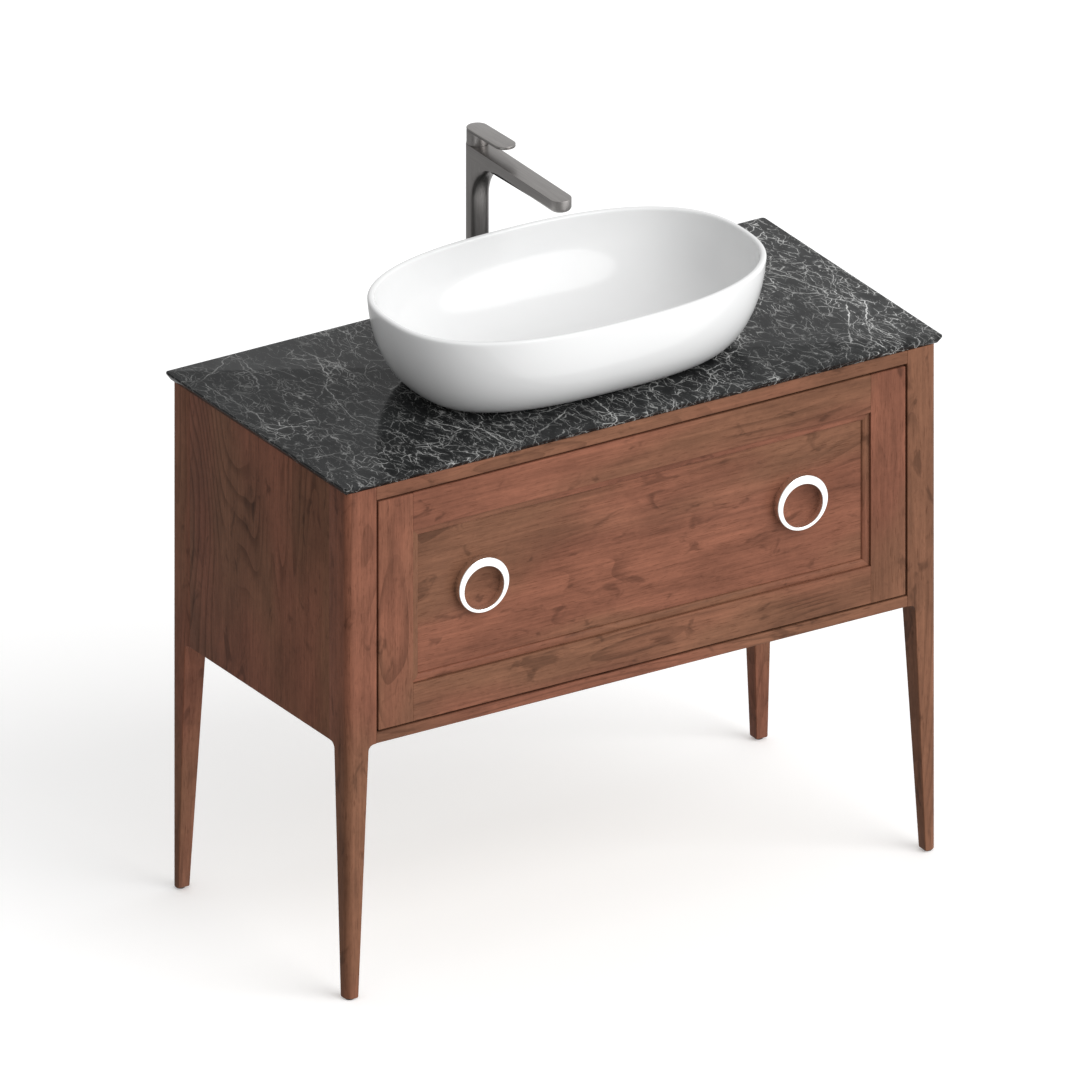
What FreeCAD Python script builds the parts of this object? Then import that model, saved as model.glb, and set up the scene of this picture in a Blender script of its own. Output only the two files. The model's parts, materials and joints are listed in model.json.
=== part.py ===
import FreeCAD, Part
import math
import os
import re

import Sketcher
from FreeCAD import Placement, Rotation, Vector

# A bathroom washstand: a four-legged wooden cabinet with one deep inset drawer, a dark stone worktop,
# an oval ceramic basin standing on it and a tall single-lever tap behind the basin.
# Frame: origin on the floor under the middle of the worktop, X to the right, the front faces -Y, Z up.

doc = FreeCAD.newDocument("washstand")
sheet = doc.addObject("Spreadsheet::Sheet", "Sizes")

# Driving dimensions in millimetres: name, value, meaning.
SIZES = [
    ("top_length", 1000, "worktop, left to right"),
    ("top_depth", 480, "worktop, front to back"),
    ("top_thick", 12, "worktop slab"),
    ("top_height", 800, "worktop surface above the floor"),
    ("top_corner", 5, "plan radius of the worktop's corners"),
    ("bevel_in", 6.5, "under-edge bevel of the worktop, inwards"),
    ("bevel_down", 9, "under-edge bevel of the worktop, height"),
    ("side_hang", 8, "worktop past the cabinet at each side"),
    ("front_hang", 5, "worktop past the cabinet at the front and back"),
    ("carcass_floor", 390, "lower edge of the cabinet above the floor"),
    ("post_side", 49, "square leg post"),
    ("leg_side", 36, "leg just below the cabinet"),
    ("foot_side", 19, "leg at the floor"),
    ("leg_blend", 10, "hollow rounding where post meets leg"),
    ("post_round", 11, "rounding of each outer vertical edge"),
    ("foot_edge", 1.5, "chamfer round the foot"),
    ("glide_rad", 6, "foot glide radius"),
    ("glide_thick", 2.5, "foot glide height"),
    ("side_thick", 18, "side panel"),
    ("rail_thick", 20, "front rails and drawer front"),
    ("rear_thick", 18, "rear rails"),
    ("top_rail_tall", 20.5, "front rail above the drawer"),
    ("low_rail_tall", 16.7, "front rail below the drawer"),
    ("rear_upper_drop", 38, "upper rear rail below the worktop"),
    ("rear_upper_tall", 50, "upper rear rail height"),
    ("rear_lower_tall", 60, "lower rear rail height"),
    ("tenon_long", 18, "tenons of the rails"),
    ("tenon_in", 4, "shoulder round each tenon"),
    ("tongue_deep", 7, "side panel tongues"),
    ("joint_play", 0.2, "clearance of tenons and tongues"),
    ("arris", 1.6, "softened edge of the wooden parts"),
    ("wall_hole_rad", 4.5, "holes for the wall bolts"),
    ("wall_hole_span", 600, "distance between the wall bolts"),
    ("batten_wide", 20, "worktop battens"),
    ("batten_tall", 30, "worktop battens"),
    ("reveal", 3, "gap round the drawer front"),
    ("stile_wide", 58, "drawer front frame members"),
    ("bead_wide", 12, "moulding inside the frame"),
    ("bead_step", 4, "moulding below the frame's face"),
    ("panel_step", 8, "panel below the frame's face"),
    ("bead_sunk", 3, "moulding let into the panel"),
    ("panel_thick", 9, "panel of the drawer front"),
    ("pull_span", 532, "distance between the ring pulls"),
    ("pull_lift", 8, "ring pulls above the middle of the drawer front"),
    ("pull_rad", 42, "ring pull outer radius"),
    ("pull_hole_rad", 32.8, "opening of the ring pull"),
    ("pull_drop", 4, "opening below the middle of its ring"),
    ("pull_proud", 4.6, "ring pull ahead of the frame's face"),
    ("dish_deep", 6, "hollow inside the ring pull"),
    ("slide_thick", 12.7, "telescopic slide, side to side"),
    ("slide_tall", 45, "telescopic slide height"),
    ("slide_rise", 135, "slide centre line above the cabinet's lower edge"),
    ("slide_lap", 19, "cabinet slide over each post"),
    ("slide_plate", 1.4, "slide sheet metal"),
    ("slide_play", 0.5, "clearance between the slide members"),
    ("slide_lip", 0.6, "cabinet slide inside the drawer slide's web"),
    ("mid_short", 10, "middle slide shorter at each end"),
    ("slide_ahead", 1, "drawer slide behind the cabinet slide's front end"),
    ("slide_short", 5, "drawer slide ends ahead of the box's back"),
    ("box_wall", 15, "drawer box sides, front and back"),
    ("box_rise", 35, "drawer box above the cabinet's lower edge"),
    ("box_tall", 190, "drawer box height"),
    ("box_short", 60, "drawer box ends ahead of the cabinet's back"),
    ("box_floor", 8, "drawer bottom"),
    ("box_floor_lift", 10, "drawer bottom above the lower edge of the sides"),
    ("notch_half", 62, "half the width of the cut-out round the trap"),
    ("notch_front", 66, "cut-out ahead of the trap's axis"),
    ("basin_length", 598, "basin rim, left to right"),
    ("basin_depth", 367, "basin rim, front to back"),
    ("basin_tall", 135.5, "basin height"),
    ("basin_foot_length", 456, "basin foot, left to right"),
    ("basin_foot_depth", 236, "basin foot, front to back"),
    ("rim_gap", 55.5, "basin rim to the tap's axis"),
    ("basin_wall", 9, "basin wall at the rim"),
    ("basin_floor", 13, "ceramic under the bowl"),
    ("bowl_flat_length", 330, "flat of the bowl, left to right"),
    ("bowl_flat_depth", 150, "flat of the bowl, front to back"),
    ("rim_oval", 2.48, "squareness of the rim oval, 2 is an ellipse"),
    ("foot_oval", 2.75, "squareness of the foot oval"),
    ("wall_oval", 1.74, "fullness of the basin's side"),
    ("waste_hole_play", 1.5, "hole in the basin round the waste tube"),
    ("top_waste_play", 6, "hole in the worktop round the waste tube"),
    ("waste_tube_rad", 21, "waste body tube"),
    ("waste_wall", 2, "waste body tube wall"),
    ("waste_cone", 4, "taper between waste tube and tail pipe"),
    ("flange_lap", 12, "waste body flange past its tube"),
    ("flange_edge", 1, "rounded edge of the flange"),
    ("flange_thick", 3, "waste body flange"),
    ("seal_thick", 1.5, "rubber seals of the waste"),
    ("seal_in", 2, "waste seal short of the flange"),
    ("seal_play", 0.5, "seals round the waste tube"),
    ("washer_wide", 9, "waste washer past its tube"),
    ("washer_thick", 2.5, "waste washer"),
    ("thread_play", 0.2, "nuts round their threads"),
    ("waste_long", 58, "waste tube below the worktop surface"),
    ("tail_rad", 16, "tail pipe outer radius"),
    ("tail_wall", 1.5, "tail pipe wall"),
    ("tail_long", 70, "tail pipe below the waste tube"),
    ("tail_lap", 12, "tail pipe inside the trap"),
    ("tail_play", 0.3, "clearance round the pipes in the trap"),
    ("nut_wide", 10, "waste back nut past its tube, to its corners"),
    ("nut_thick", 11, "waste back nut"),
    ("plug_in", 2, "waste plug short of the flange"),
    ("plug_crown", 2, "waste plug crown"),
    ("plug_edge", 1, "waste plug edge rounding"),
    ("plug_gap", 0.2, "waste plug above its flange"),
    ("plug_boss", 2, "boss between waste plug and stem"),
    ("plug_seal_thick", 2, "plug seal"),
    ("plug_seal_drop", 4.5, "plug seal below the flange"),
    ("plug_thick", 3.5, "waste plug edge height"),
    ("plug_stem_rad", 4, "waste plug stem"),
    ("plug_stem_long", 38, "waste plug stem"),
    ("stem_below", 12, "waste plug stem below its guide's top"),
    ("bridge_tall", 8, "stem guide in the waste tube"),
    ("bridge_half", 6, "half the width of the stem guide"),
    ("run_play", 0.05, "running clearance on radius"),
    ("trap_rad", 30, "trap head"),
    ("trap_wall", 3, "trap walls"),
    ("trap_head_tall", 72, "trap head height"),
    ("neck_tall", 14, "threaded neck of the trap"),
    ("trap_shoulder", 4, "slope between the trap's neck and head"),
    ("cup_tall", 70, "trap cup height"),
    ("cup_lap", 14, "trap cup over the head"),
    ("cup_play", 0.4, "trap cup round the head"),
    ("cup_in", 6, "bottom of the cup inside the head's radius"),
    ("cup_round", 10, "sloped foot of the cup"),
    ("slip_nut_wide", 9, "slip nuts past their pipes"),
    ("slip_nut_tall", 13, "slip nuts"),
    ("slip_nut_gap", 0.5, "slip nut below the end of its thread"),
    ("slip_seal_wide", 7, "slip seal past its pipe"),
    ("slip_seal_tall", 3, "slip seal"),
    ("outlet_rad", 16, "trap outlet pipe"),
    ("outlet_lift", 6, "outlet above the cup"),
    ("stub_sunk", 6, "outlet stub inside the trap head"),
    ("stub_long", 24, "outlet stub"),
    ("stop_wide", 2, "stop ring past the outlet pipe"),
    ("stop_thick", 3, "stop ring"),
    ("spigot_long", 40, "plain end of the outlet pipe behind its stop ring"),
    ("pipe_gap", 20, "outlet pipe ends ahead of the tap's axis"),
    ("tap_edge", 35, "tap axis ahead of the worktop's rear edge"),
    ("tap_hole_play", 1, "tap hole in the worktop round the shank"),
    ("column_rad", 16.5, "tap column"),
    ("column_bore", 9, "bore of the tap column"),
    ("base_seal", 1, "seal under the tap"),
    ("base_seal_in", 0.5, "seal short of the column"),
    ("spout_top", 248.6, "spout top above the worktop"),
    ("spout_thick", 19, "spout height"),
    ("spout_in", 0.5, "spout narrower than the column, each side"),
    ("spout_reach", 221, "tap axis to the centre of the spout's rounded end"),
    ("spout_blend", 62, "hollow curve between column and spout"),
    ("spout_edge", 6, "rounding of the spout's lower edges"),
    ("water_rad", 5, "water way in the spout"),
    ("aerator_rad", 11, "aerator"),
    ("aerator_tall", 8, "aerator"),
    ("aerator_wall", 1.5, "aerator ring"),
    ("aerator_lip", 3, "aerator ring below its plate"),
    ("jet_rad", 1, "aerator water holes"),
    ("jet_ring", 5.5, "circle of the water holes"),
    ("pivot_lift", 6, "lever pivot above the spout's top"),
    ("hub_in", 0.9, "lever hub and plate narrower than the column, each side"),
    ("hub_tall", 20.5, "lever hub above the spout's top"),
    ("hub_play", 0.4, "gap round the ball face of the hub"),
    ("hub_bore", 11, "hollow of the lever hub"),
    ("hub_hollow", 7, "straight hollow above the pivot"),
    ("lever_long", 73, "tap axis to the centre of the lever's rounded end"),
    ("lever_thick", 4.6, "lever plate"),
    ("lever_rise", 1.7, "lever plate slope in degrees"),
    ("cartridge_in", 4.5, "cartridge inside the column's radius"),
    ("cartridge_tall", 28, "cartridge"),
    ("cartridge_sunk", 9, "cartridge below the spout's top"),
    ("cartridge_gap", 2, "cartridge shorter than its chamber"),
    ("stem_sunk", 16, "stem inside the cartridge"),
    ("stem_gap", 0.5, "clearance under the stem"),
    ("stem_rad", 3.5, "cartridge stem"),
    ("stem_ball", 5, "ball at the top of the stem"),
    ("pin_rad", 1.5, "lever pivot pin"),
    ("pin_long", 26, "lever pivot pin"),
    ("shank_in", 3.5, "threaded shank inside the column's radius"),
    ("shank_play", 0.3, "clamp plate round the shank"),
    ("shank_long", 42, "shank below the worktop surface"),
    ("inlet_rad", 4.6, "threaded water inlets in the shank"),
    ("inlet_deep", 20, "threaded water inlets"),
    ("inlet_half", 6.4, "half the distance between the inlets"),
    ("clamp_rad", 24, "clamp plate under the tap"),
    ("clamp_thick", 3, "clamp plate under the tap"),
    ("tap_nut_wide", 8, "tap nut past its shank, to its corners"),
    ("tap_nut_tall", 9, "tap nut"),
    ("screw_rad", 1.75, "wood screws"),
    ("screw_head", 3.6, "wood screw heads"),
    ("head_tall", 1.2, "screw head height"),
    ("batten_screw_bite", 10, "batten screws in the side panel"),
    ("front_screw_bite", 12, "screws of the drawer front past the box"),
    ("pull_screw_bite", 6, "pull screws in the rings"),
    ("pull_screw_rad", 1.4, "pull screws"),
    ("pull_screw_head", 3.2, "pull screw heads"),
    ("slide_screw_long", 18, "slide screws"),
    ("slide_screw_rad", 1.6, "slide screws"),
    ("slide_screw_head", 2.9, "slide screw heads"),
    ("slide_screw_in", 9, "slide screws from the ends of the slide"),
]

NAMES = set()
for row, (name, value, meaning) in enumerate(SIZES, start=1):
    sheet.set(f"A{row}", meaning)
    sheet.set(f"B{row}", str(value))
    sheet.setAlias(f"B{row}", name)
    NAMES.add(name)
doc.recompute()

# Heights and places that several pieces share, as formulas on the sheet's names.
HALF = "(top_length / 2 - side_hang)"
FRONT = "(0 - top_depth / 2 + front_hang)"
BACK = "(top_depth / 2 - front_hang)"
UNDER = "(top_height - top_thick)"
TAP_BACK = "(top_depth / 2 - tap_edge)"
BASIN_BACK = f"({TAP_BACK} - rim_gap - basin_depth / 2)"
INNER = f"({HALF} - post_side)"
OPEN_TOP = f"({UNDER} - top_rail_tall)"
OPEN_LOW = "(carcass_floor + low_rail_tall)"
FACE_TOP = f"({OPEN_TOP} - reveal)"
FACE_LOW = f"({OPEN_LOW} + reveal)"
FACE_HALF = f"({INNER} - reveal)"
FACE_BACK = f"({FRONT} + rail_thick)"
PULL_HIGH = f"(({FACE_TOP} + {FACE_LOW}) / 2 + pull_lift)"
PULL_HOLE = f"({PULL_HIGH} - pull_drop)"
BOX_HALF = f"({INNER} - slide_thick)"
BOX_BACK = f"({BACK} - box_short)"
BOX_LOW = "(carcass_floor + box_rise)"
BOWL = "(top_height + basin_floor)"
FLANGE_RAD = "(waste_tube_rad + flange_lap)"
PLUG_RAD = f"({FLANGE_RAD} - plug_in)"
SPOUT_HALF = "(column_rad - spout_in)"
HUB_RAD = "(column_rad - hub_in)"
SHANK_RAD = "(column_rad - shank_in)"
CARTRIDGE_RAD = "(column_rad - cartridge_in)"
SPOUT = "(top_height + spout_top)"
PIVOT = f"({SPOUT} + pivot_lift)"
TRAP_TOP = "(top_height - waste_long - tail_long + tail_lap)"
TRAP_LOW = f"({TRAP_TOP} - trap_head_tall)"
OUTLET = f"({TRAP_LOW} + cup_lap + outlet_rad + outlet_lift)"
NECK_DEEP = "(neck_tall + 1.5 * trap_shoulder)"
SLIDE_MIDDLE = "(carcass_floor + slide_rise)"
SLIDE_LOW = f"({SLIDE_MIDDLE} - slide_tall / 2)"
SLIDE_HIGH = f"({SLIDE_MIDDLE} + slide_tall / 2)"
SLIDE_END = f"({BACK} - post_side + slide_lap)"

WORD = re.compile(r"[a-z][a-z_]*")
FINISHED = []


def formula(text):
    """A formula on the sheet's names, written the way an expression reads them."""
    return WORD.sub(lambda word: f"Sizes.{word.group()}" if word.group() in NAMES else word.group(), str(text))


def size(name):
    """One size from the sheet, as a number."""
    return float(sheet.get(name))


def tie(thing, **rules):
    """Bind properties to formulas."""
    for prop, rule in rules.items():
        thing.setExpression(prop, formula(rule))
    return thing


def place(thing, x, y, z):
    """Bind a piece's position to three formulas."""
    for axis, rule in zip("xyz", (x, y, z)):
        thing.setExpression(f"Placement.Base.{axis}", formula(rule))
    return thing


def block(name, low, high):
    """A box between two corners."""
    box = doc.addObject("Part::Box", name)
    tie(box, Length=f"({high[0]}) - ({low[0]})", Width=f"({high[1]}) - ({low[1]})",
        Height=f"({high[2]}) - ({low[2]})")
    return place(box, *low)


TURNS = {
    "+Z": Rotation(),
    "-Z": Rotation(Vector(1, 0, 0), 180),
    "+Y": Rotation(Vector(1, 0, 0), -90),
    "-Y": Rotation(Vector(1, 0, 0), 90),
    "+X": Rotation(Vector(0, 1, 0), 90),
    "-X": Rotation(Vector(0, 1, 0), -90),
}


def rod(name, radius, length, start, way="+Z"):
    """A cylinder that starts at a point and runs one way."""
    cylinder = doc.addObject("Part::Cylinder", name)
    cylinder.Placement = Placement(Vector(), TURNS[way])
    tie(cylinder, Radius=radius, Height=length)
    return place(cylinder, *start)


def ball(name, radius, centre):
    """A sphere."""
    return place(tie(doc.addObject("Part::Sphere", name), Radius=radius), *centre)


def cut(name, base, *tools):
    """A piece with other shapes taken away from it."""
    tool = tools[0] if len(tools) == 1 else group(f"{name}_tools", *tools)
    result = doc.addObject("Part::Cut", name)
    result.Base = base
    result.Tool = tool
    return result


def fuse(name, *pieces):
    """Several shapes joined to one."""
    result = doc.addObject("Part::MultiFuse", name)
    result.Shapes = list(pieces)
    result.Refine = True
    return result


def group(name, *pieces):
    """Several separate solids in one node."""
    result = doc.addObject("Part::Compound", name)
    result.Links = list(pieces)
    return result


def tube(name, outer, inner, length, start, way="+Z"):
    """A pipe with a through bore."""
    return cut(name, rod(f"{name}_outer", outer, length, start, way),
               rod(f"{name}_inner", inner, length, start, way))


def finish(thing):
    """Mark a sub-part as finished: its name is its label and its file's name."""
    thing.Label = thing.Name
    FINISHED.append(thing)
    return thing


def edges_where(shape, test):
    """The numbers of the edges that pass a test on their bounding box."""
    return [number for number, edge in enumerate(shape.Edges, start=1) if test(edge.BoundBox)]


def soften(name, base, test, amount="arris", kind="Part::Chamfer"):
    """A piece with the edges that pass a test chamfered or rounded."""
    doc.recompute()
    result = doc.addObject(kind, name)
    result.Base = base
    width = size(amount)
    result.Edges = [(number, width, width) for number in edges_where(base.Shape, test)]
    return result


def flat(a, b):
    """True where two bounds are the same."""
    return abs(a - b) < 1e-4


def board(name, low, high, soft="front"):
    """A wooden board whose outer arrises are softened: the front's, or all that run one way."""
    raw = block(f"{name}_board", low, high)
    doc.recompute()
    bounds = raw.Shape.BoundBox
    tests = {
        "front": lambda box: flat(box.YMin, bounds.YMin) and flat(box.YMax, bounds.YMin),
        "along_z": lambda box: box.ZLength > bounds.ZLength / 2,
        "lengths": lambda box: flat(box.YMin, bounds.YMin) and flat(box.YMax, bounds.YMin) and box.XLength > 1,
        "upper": lambda box: flat(box.ZMin, bounds.ZMax) and flat(box.ZMax, bounds.ZMax),
    }
    return soften(name, raw, tests[soft])


def sketch_on(body, role, name):
    """A sketch on one of a body's own origin planes."""
    plane = [item for item in body.Origin.OriginFeatures if item.Role == role][0]
    sketch = body.newObject("Sketcher::SketchObject", name)
    sketch.AttachmentSupport = [(plane, "")]
    sketch.MapMode = "FlatFace"
    return sketch


def outline(sketch, points):
    """A closed outline of straight lines whose corners are bound to formulas."""
    count = len(points)
    ring = [Vector(100 * math.cos(2 * math.pi * step / count), 100 * math.sin(2 * math.pi * step / count), 0)
            for step in range(count)]
    for step in range(count):
        sketch.addGeometry(Part.LineSegment(ring[step], ring[(step + 1) % count]))
    for step in range(count):
        sketch.addConstraint(Sketcher.Constraint("Coincident", step, 2, (step + 1) % count, 1))
    for step, point in enumerate(points):
        for kind, start, rule in (("DistanceX", ring[step].x, point[0]), ("DistanceY", ring[step].y, point[1])):
            index = sketch.addConstraint(Sketcher.Constraint(kind, -1, 1, step, 1, start))
            sketch.setExpression(f"Constraints[{index}]", formula(rule))
    return sketch


def turned(name, points, base):
    """A piece turned on a lathe: an outline of radius and height, spun about a vertical axis."""
    body = doc.addObject("PartDesign::Body", name)
    sketch = outline(sketch_on(body, "XZ_Plane", f"{name}_outline"), points)
    spin = body.newObject("PartDesign::Revolution", f"{name}_spin")
    spin.Profile = sketch
    spin.ReferenceAxis = (sketch, ["V_Axis"])
    spin.Angle = 360
    return place(body, *base)


def pad(body, sketch, name, length, kind="PartDesign::Pad", through=False, flip=False):
    """A pad or a pocket from a sketch."""
    feature = body.newObject(kind, name)
    feature.Profile = sketch
    if through:
        feature.Type = 1
    else:
        tie(feature, Length=length)
    feature.Reversed = flip
    return feature


def prism(name, role, points, length, base, flip=False):
    """A padded outline."""
    body = doc.addObject("PartDesign::Body", name)
    sketch = outline(sketch_on(body, role, f"{name}_outline"), points)
    pad(body, sketch, f"{name}_pad", length, flip=flip)
    return place(body, *base)


def screws(name, places, length, head="screw_head", shank="screw_rad"):
    """A set of screws with round heads; each has the point under its head and the way it runs."""
    solids = []
    for number, (start, way) in enumerate(places, start=1):
        back = {"+": "-", "-": "+"}[way[0]] + way[1]
        solids.append(fuse(f"{name}_{number}", rod(f"{name}_{number}_shank", shank, length, start, way),
                           rod(f"{name}_{number}_head", head, "head_tall", start, back)))
    return finish(group(name, *solids))


# --- Cabinet frame -------------------------------------------------------------------------------

RAILS = {
    "top_rail": (FRONT, FACE_BACK, OPEN_TOP, UNDER),
    "bottom_rail": (FRONT, FACE_BACK, "carcass_floor", OPEN_LOW),
    "rear_rail_upper": (f"{BACK} - rear_thick", BACK, f"{UNDER} - rear_upper_drop - rear_upper_tall",
                        f"{UNDER} - rear_upper_drop"),
    "rear_rail_lower": (f"{BACK} - rear_thick", BACK, "carcass_floor", "carcass_floor + rear_lower_tall"),
}
CORNERS = {
    "leg_front_left": (-1, -1, 0),
    "leg_front_right": (1, -1, 90),
    "leg_rear_right": (1, 1, 180),
    "leg_rear_left": (-1, 1, 270),
}


def tenon(name, rail, play):
    """The bar whose ends are a rail's two tenons, made larger by the play for the mortises."""
    near, far, low, high = RAILS[rail]
    reach = f"({INNER} + tenon_long + {play})"
    return block(name, (f"0 - {reach}", f"{near} + tenon_in - {play}", f"{low} + tenon_in - {play}"),
                 (reach, f"{far} - tenon_in + {play}", f"{high} - tenon_in + {play}"))


def rail(name, soft, *holes):
    """A rail between two posts with a tenon at each end."""
    near, far, low, high = RAILS[name]
    bar = board(f"{name}_bar", (f"0 - {INNER}", near, low), (INNER, far, high), soft)
    ends = tenon(f"{name}_tenon", name, "0")
    if holes:
        return finish(cut(name, fuse(f"{name}_joined", bar, ends), *holes))
    return finish(fuse(name, bar, ends))


def tongue(name, side, play):
    """The bar whose ends are a side panel's two tongues."""
    middle = f"({side} * ({HALF} - side_thick / 2))"
    reach = f"({BACK} - post_side + tongue_deep + {play})"
    return block(name, (f"{middle} - side_thick / 6 - {play}", f"0 - {reach}", "carcass_floor"),
                 (f"{middle} + side_thick / 6 + {play}", reach, UNDER))


def leg(name, across, along, angle):
    """A post that narrows to a tapered leg below the cabinet, with mortises for rails and side panel."""
    body = doc.addObject("PartDesign::Body", f"{name}_body")
    floor = "glide_thick"
    side = outline(sketch_on(body, "XZ_Plane", f"{name}_side"),
                   [("0", floor), ("foot_side", floor), ("leg_side", "carcass_floor"),
                    ("post_side", "carcass_floor"), ("post_side", UNDER), ("0", UNDER)])
    pad(body, side, f"{name}_post", "post_side", flip=True)
    hollow = outline(sketch_on(body, "YZ_Plane", f"{name}_hollow"),
                     [("foot_side", floor), ("2 * post_side", floor), ("2 * post_side", "carcass_floor"),
                      ("leg_side", "carcass_floor")])
    taper = pad(body, hollow, f"{name}_taper", None, "PartDesign::Pocket", through=True, flip=True)
    doc.recompute()
    corner = size("carcass_floor")
    blend = body.newObject("PartDesign::Fillet", f"{name}_blend")
    blend.Base = (taper, [f"Edge{number}" for number in edges_where(taper.Shape, lambda box: (
        flat(box.ZMin, corner) and flat(box.ZMax, corner)
        and (flat(box.XMin, size("leg_side")) and flat(box.XMax, size("leg_side"))
             or flat(box.YMin, size("leg_side")) and flat(box.YMax, size("leg_side")))))])
    tie(blend, Radius="leg_blend")
    doc.recompute()
    outer = body.newObject("PartDesign::Fillet", f"{name}_outer")
    outer.Base = (blend, [f"Edge{number}" for number in edges_where(blend.Shape, lambda box: (
        flat(box.XMax, 0) and flat(box.YMax, 0)))])
    tie(outer, Radius="post_round")
    doc.recompute()
    toe = body.newObject("PartDesign::Chamfer", f"{name}_toe")
    toe.Base = (outer, [f"Edge{number}" for number in edges_where(outer.Shape, lambda box: (
        flat(box.ZMax, size("glide_thick"))))])
    tie(toe, Size="foot_edge")
    body.Tip = toe
    body.Placement = Placement(Vector(), Rotation(Vector(0, 0, 1), angle))
    place(body, f"{across} * {HALF}", f"{along} * {BACK}", "0")
    rails = ["top_rail", "bottom_rail"] if along < 0 else ["rear_rail_upper", "rear_rail_lower"]
    sockets = [tenon(f"{name}_{item}_mortise", item, "joint_play") for item in rails]
    sockets.append(tongue(f"{name}_groove", across, "joint_play"))
    return finish(cut(name, body, *sockets))


for corner_name, corner_place in CORNERS.items():
    leg(corner_name, *corner_place)

rail("top_rail", "lengths")
rail("bottom_rail", "lengths")
rail("rear_rail_upper", "upper", *[
    rod(f"wall_hole_{side}", "wall_hole_rad", "2 * rear_thick",
        (f"{sign} * wall_hole_span / 2", f"{BACK} - 1.5 * rear_thick",
         f"{UNDER} - rear_upper_drop - rear_upper_tall / 2"),
        "+Y") for side, sign in (("left", -1), ("right", 1))])
rail("rear_rail_lower", "upper")


def side_panel(name, side):
    """A side panel, flush with the posts, with a tongue at its front and back edge."""
    inner = f"{side} * ({HALF} - side_thick)"
    outer = f"{side} * {HALF}"
    low, high = (outer, inner) if side < 0 else (inner, outer)
    reach = f"({BACK} - post_side)"
    panel = block(f"{name}_board", (low, f"0 - {reach}", "carcass_floor"), (high, reach, UNDER))
    return finish(fuse(name, panel, tongue(f"{name}_tongue", side, "0")))


battens = []
for side_name, sign in (("left", -1), ("right", 1)):
    side_panel(f"side_panel_{side_name}", sign)
    near = f"{sign} * ({HALF} - side_thick)"
    far = f"{sign} * ({HALF} - side_thick - batten_wide)"
    low_x, high_x = (near, far) if sign < 0 else (far, near)
    battens.append(board(f"batten_{side_name}", (low_x, f"0 - {BACK} + post_side", f"{UNDER} - batten_tall"),
                         (high_x, f"{BACK} - post_side", UNDER), "along_z"))
finish(group("battens", *battens))

GLIDE = "foot_side / 2"
finish(group("foot_glides", *[
    rod(f"glide_{number}", "glide_rad", "glide_thick",
        (f"{across} * ({HALF} - {GLIDE})", f"{along} * ({BACK} - {GLIDE})", "0"))
    for number, (across, along, angle) in enumerate(CORNERS.values())]))

screws("batten_screws", [
    ((f"{sign} * ({HALF} - side_thick - batten_wide)", f"{along} * ({BACK} - post_side)",
      f"{UNDER} - batten_tall / 2"), way)
    for sign, way in ((-1, "-X"), (1, "+X")) for along in (-0.7, 0, 0.7)], "batten_wide + batten_screw_bite")

# --- Worktop --------------------------------------------------------------------------------------

slab = doc.addObject("PartDesign::Body", "slab")
slab_outline = outline(sketch_on(slab, "XY_Plane", "slab_outline"),
                       [("0 - top_length / 2", "0 - top_depth / 2"), ("top_length / 2", "0 - top_depth / 2"),
                        ("top_length / 2", "top_depth / 2"), ("0 - top_length / 2", "top_depth / 2")])
slab_pad = pad(slab, slab_outline, "slab_pad", "top_thick")
doc.recompute()
slab_bevel = slab.newObject("PartDesign::Chamfer", "slab_bevel")
slab_bevel.Base = (slab_pad, [f"Edge{number}" for number in edges_where(slab_pad.Shape, lambda box: (
    flat(box.ZMax, 0)))])
slab_bevel.ChamferType = "Two distances"
slab_bevel.FlipDirection = True
tie(slab_bevel, Size="bevel_in", Size2="bevel_down")
doc.recompute()
slab_corners = slab.newObject("PartDesign::Fillet", "slab_corners")
slab_corners.Base = (slab_bevel, [f"Edge{number}" for number in edges_where(slab_bevel.Shape, lambda box: (
    box.ZLength > 1))])
tie(slab_corners, Radius="top_corner")
place(slab, "0", "0", UNDER)
finish(cut("worktop", slab,
           rod("worktop_waste_hole", "waste_tube_rad + top_waste_play", "3 * top_thick",
               ("0", BASIN_BACK, f"{UNDER} - top_thick")),
           rod("worktop_tap_hole", f"{SHANK_RAD} + tap_hole_play", "3 * top_thick",
               ("0", TAP_BACK, f"{UNDER} - top_thick"))))

# --- Basin ----------------------------------------------------------------------------------------


def oval(length, depth, squareness, height):
    """A closed superellipse as one smooth wire."""
    points = []
    for step in range(48):
        angle = 2 * math.pi * step / 48
        across = math.copysign(abs(math.cos(angle)) ** (2 / squareness), math.cos(angle))
        along = math.copysign(abs(math.sin(angle)) ** (2 / squareness), math.sin(angle))
        points.append(Vector(length / 2 * across, depth / 2 * along, height))
    curve = Part.BSplineCurve()
    curve.interpolate(Points=points, PeriodicFlag=True)
    return Part.Wire([curve.toShape()])


def swell(rim, foot, low, high, squareness, angles):
    """A solid that swells from its foot oval to its rim oval on a rounded side."""
    wires = []
    for angle in angles:
        out = math.sin(math.radians(angle)) ** (2 / squareness)
        up = 1 - math.cos(math.radians(angle)) ** (2 / squareness)
        wires.append(oval(foot[0] + (rim[0] - foot[0]) * out, foot[1] + (rim[1] - foot[1]) * out,
                          foot[2] + (rim[2] - foot[2]) * out, low + (high - low) * up))
    return Part.makeLoft(wires, True, False)


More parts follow.
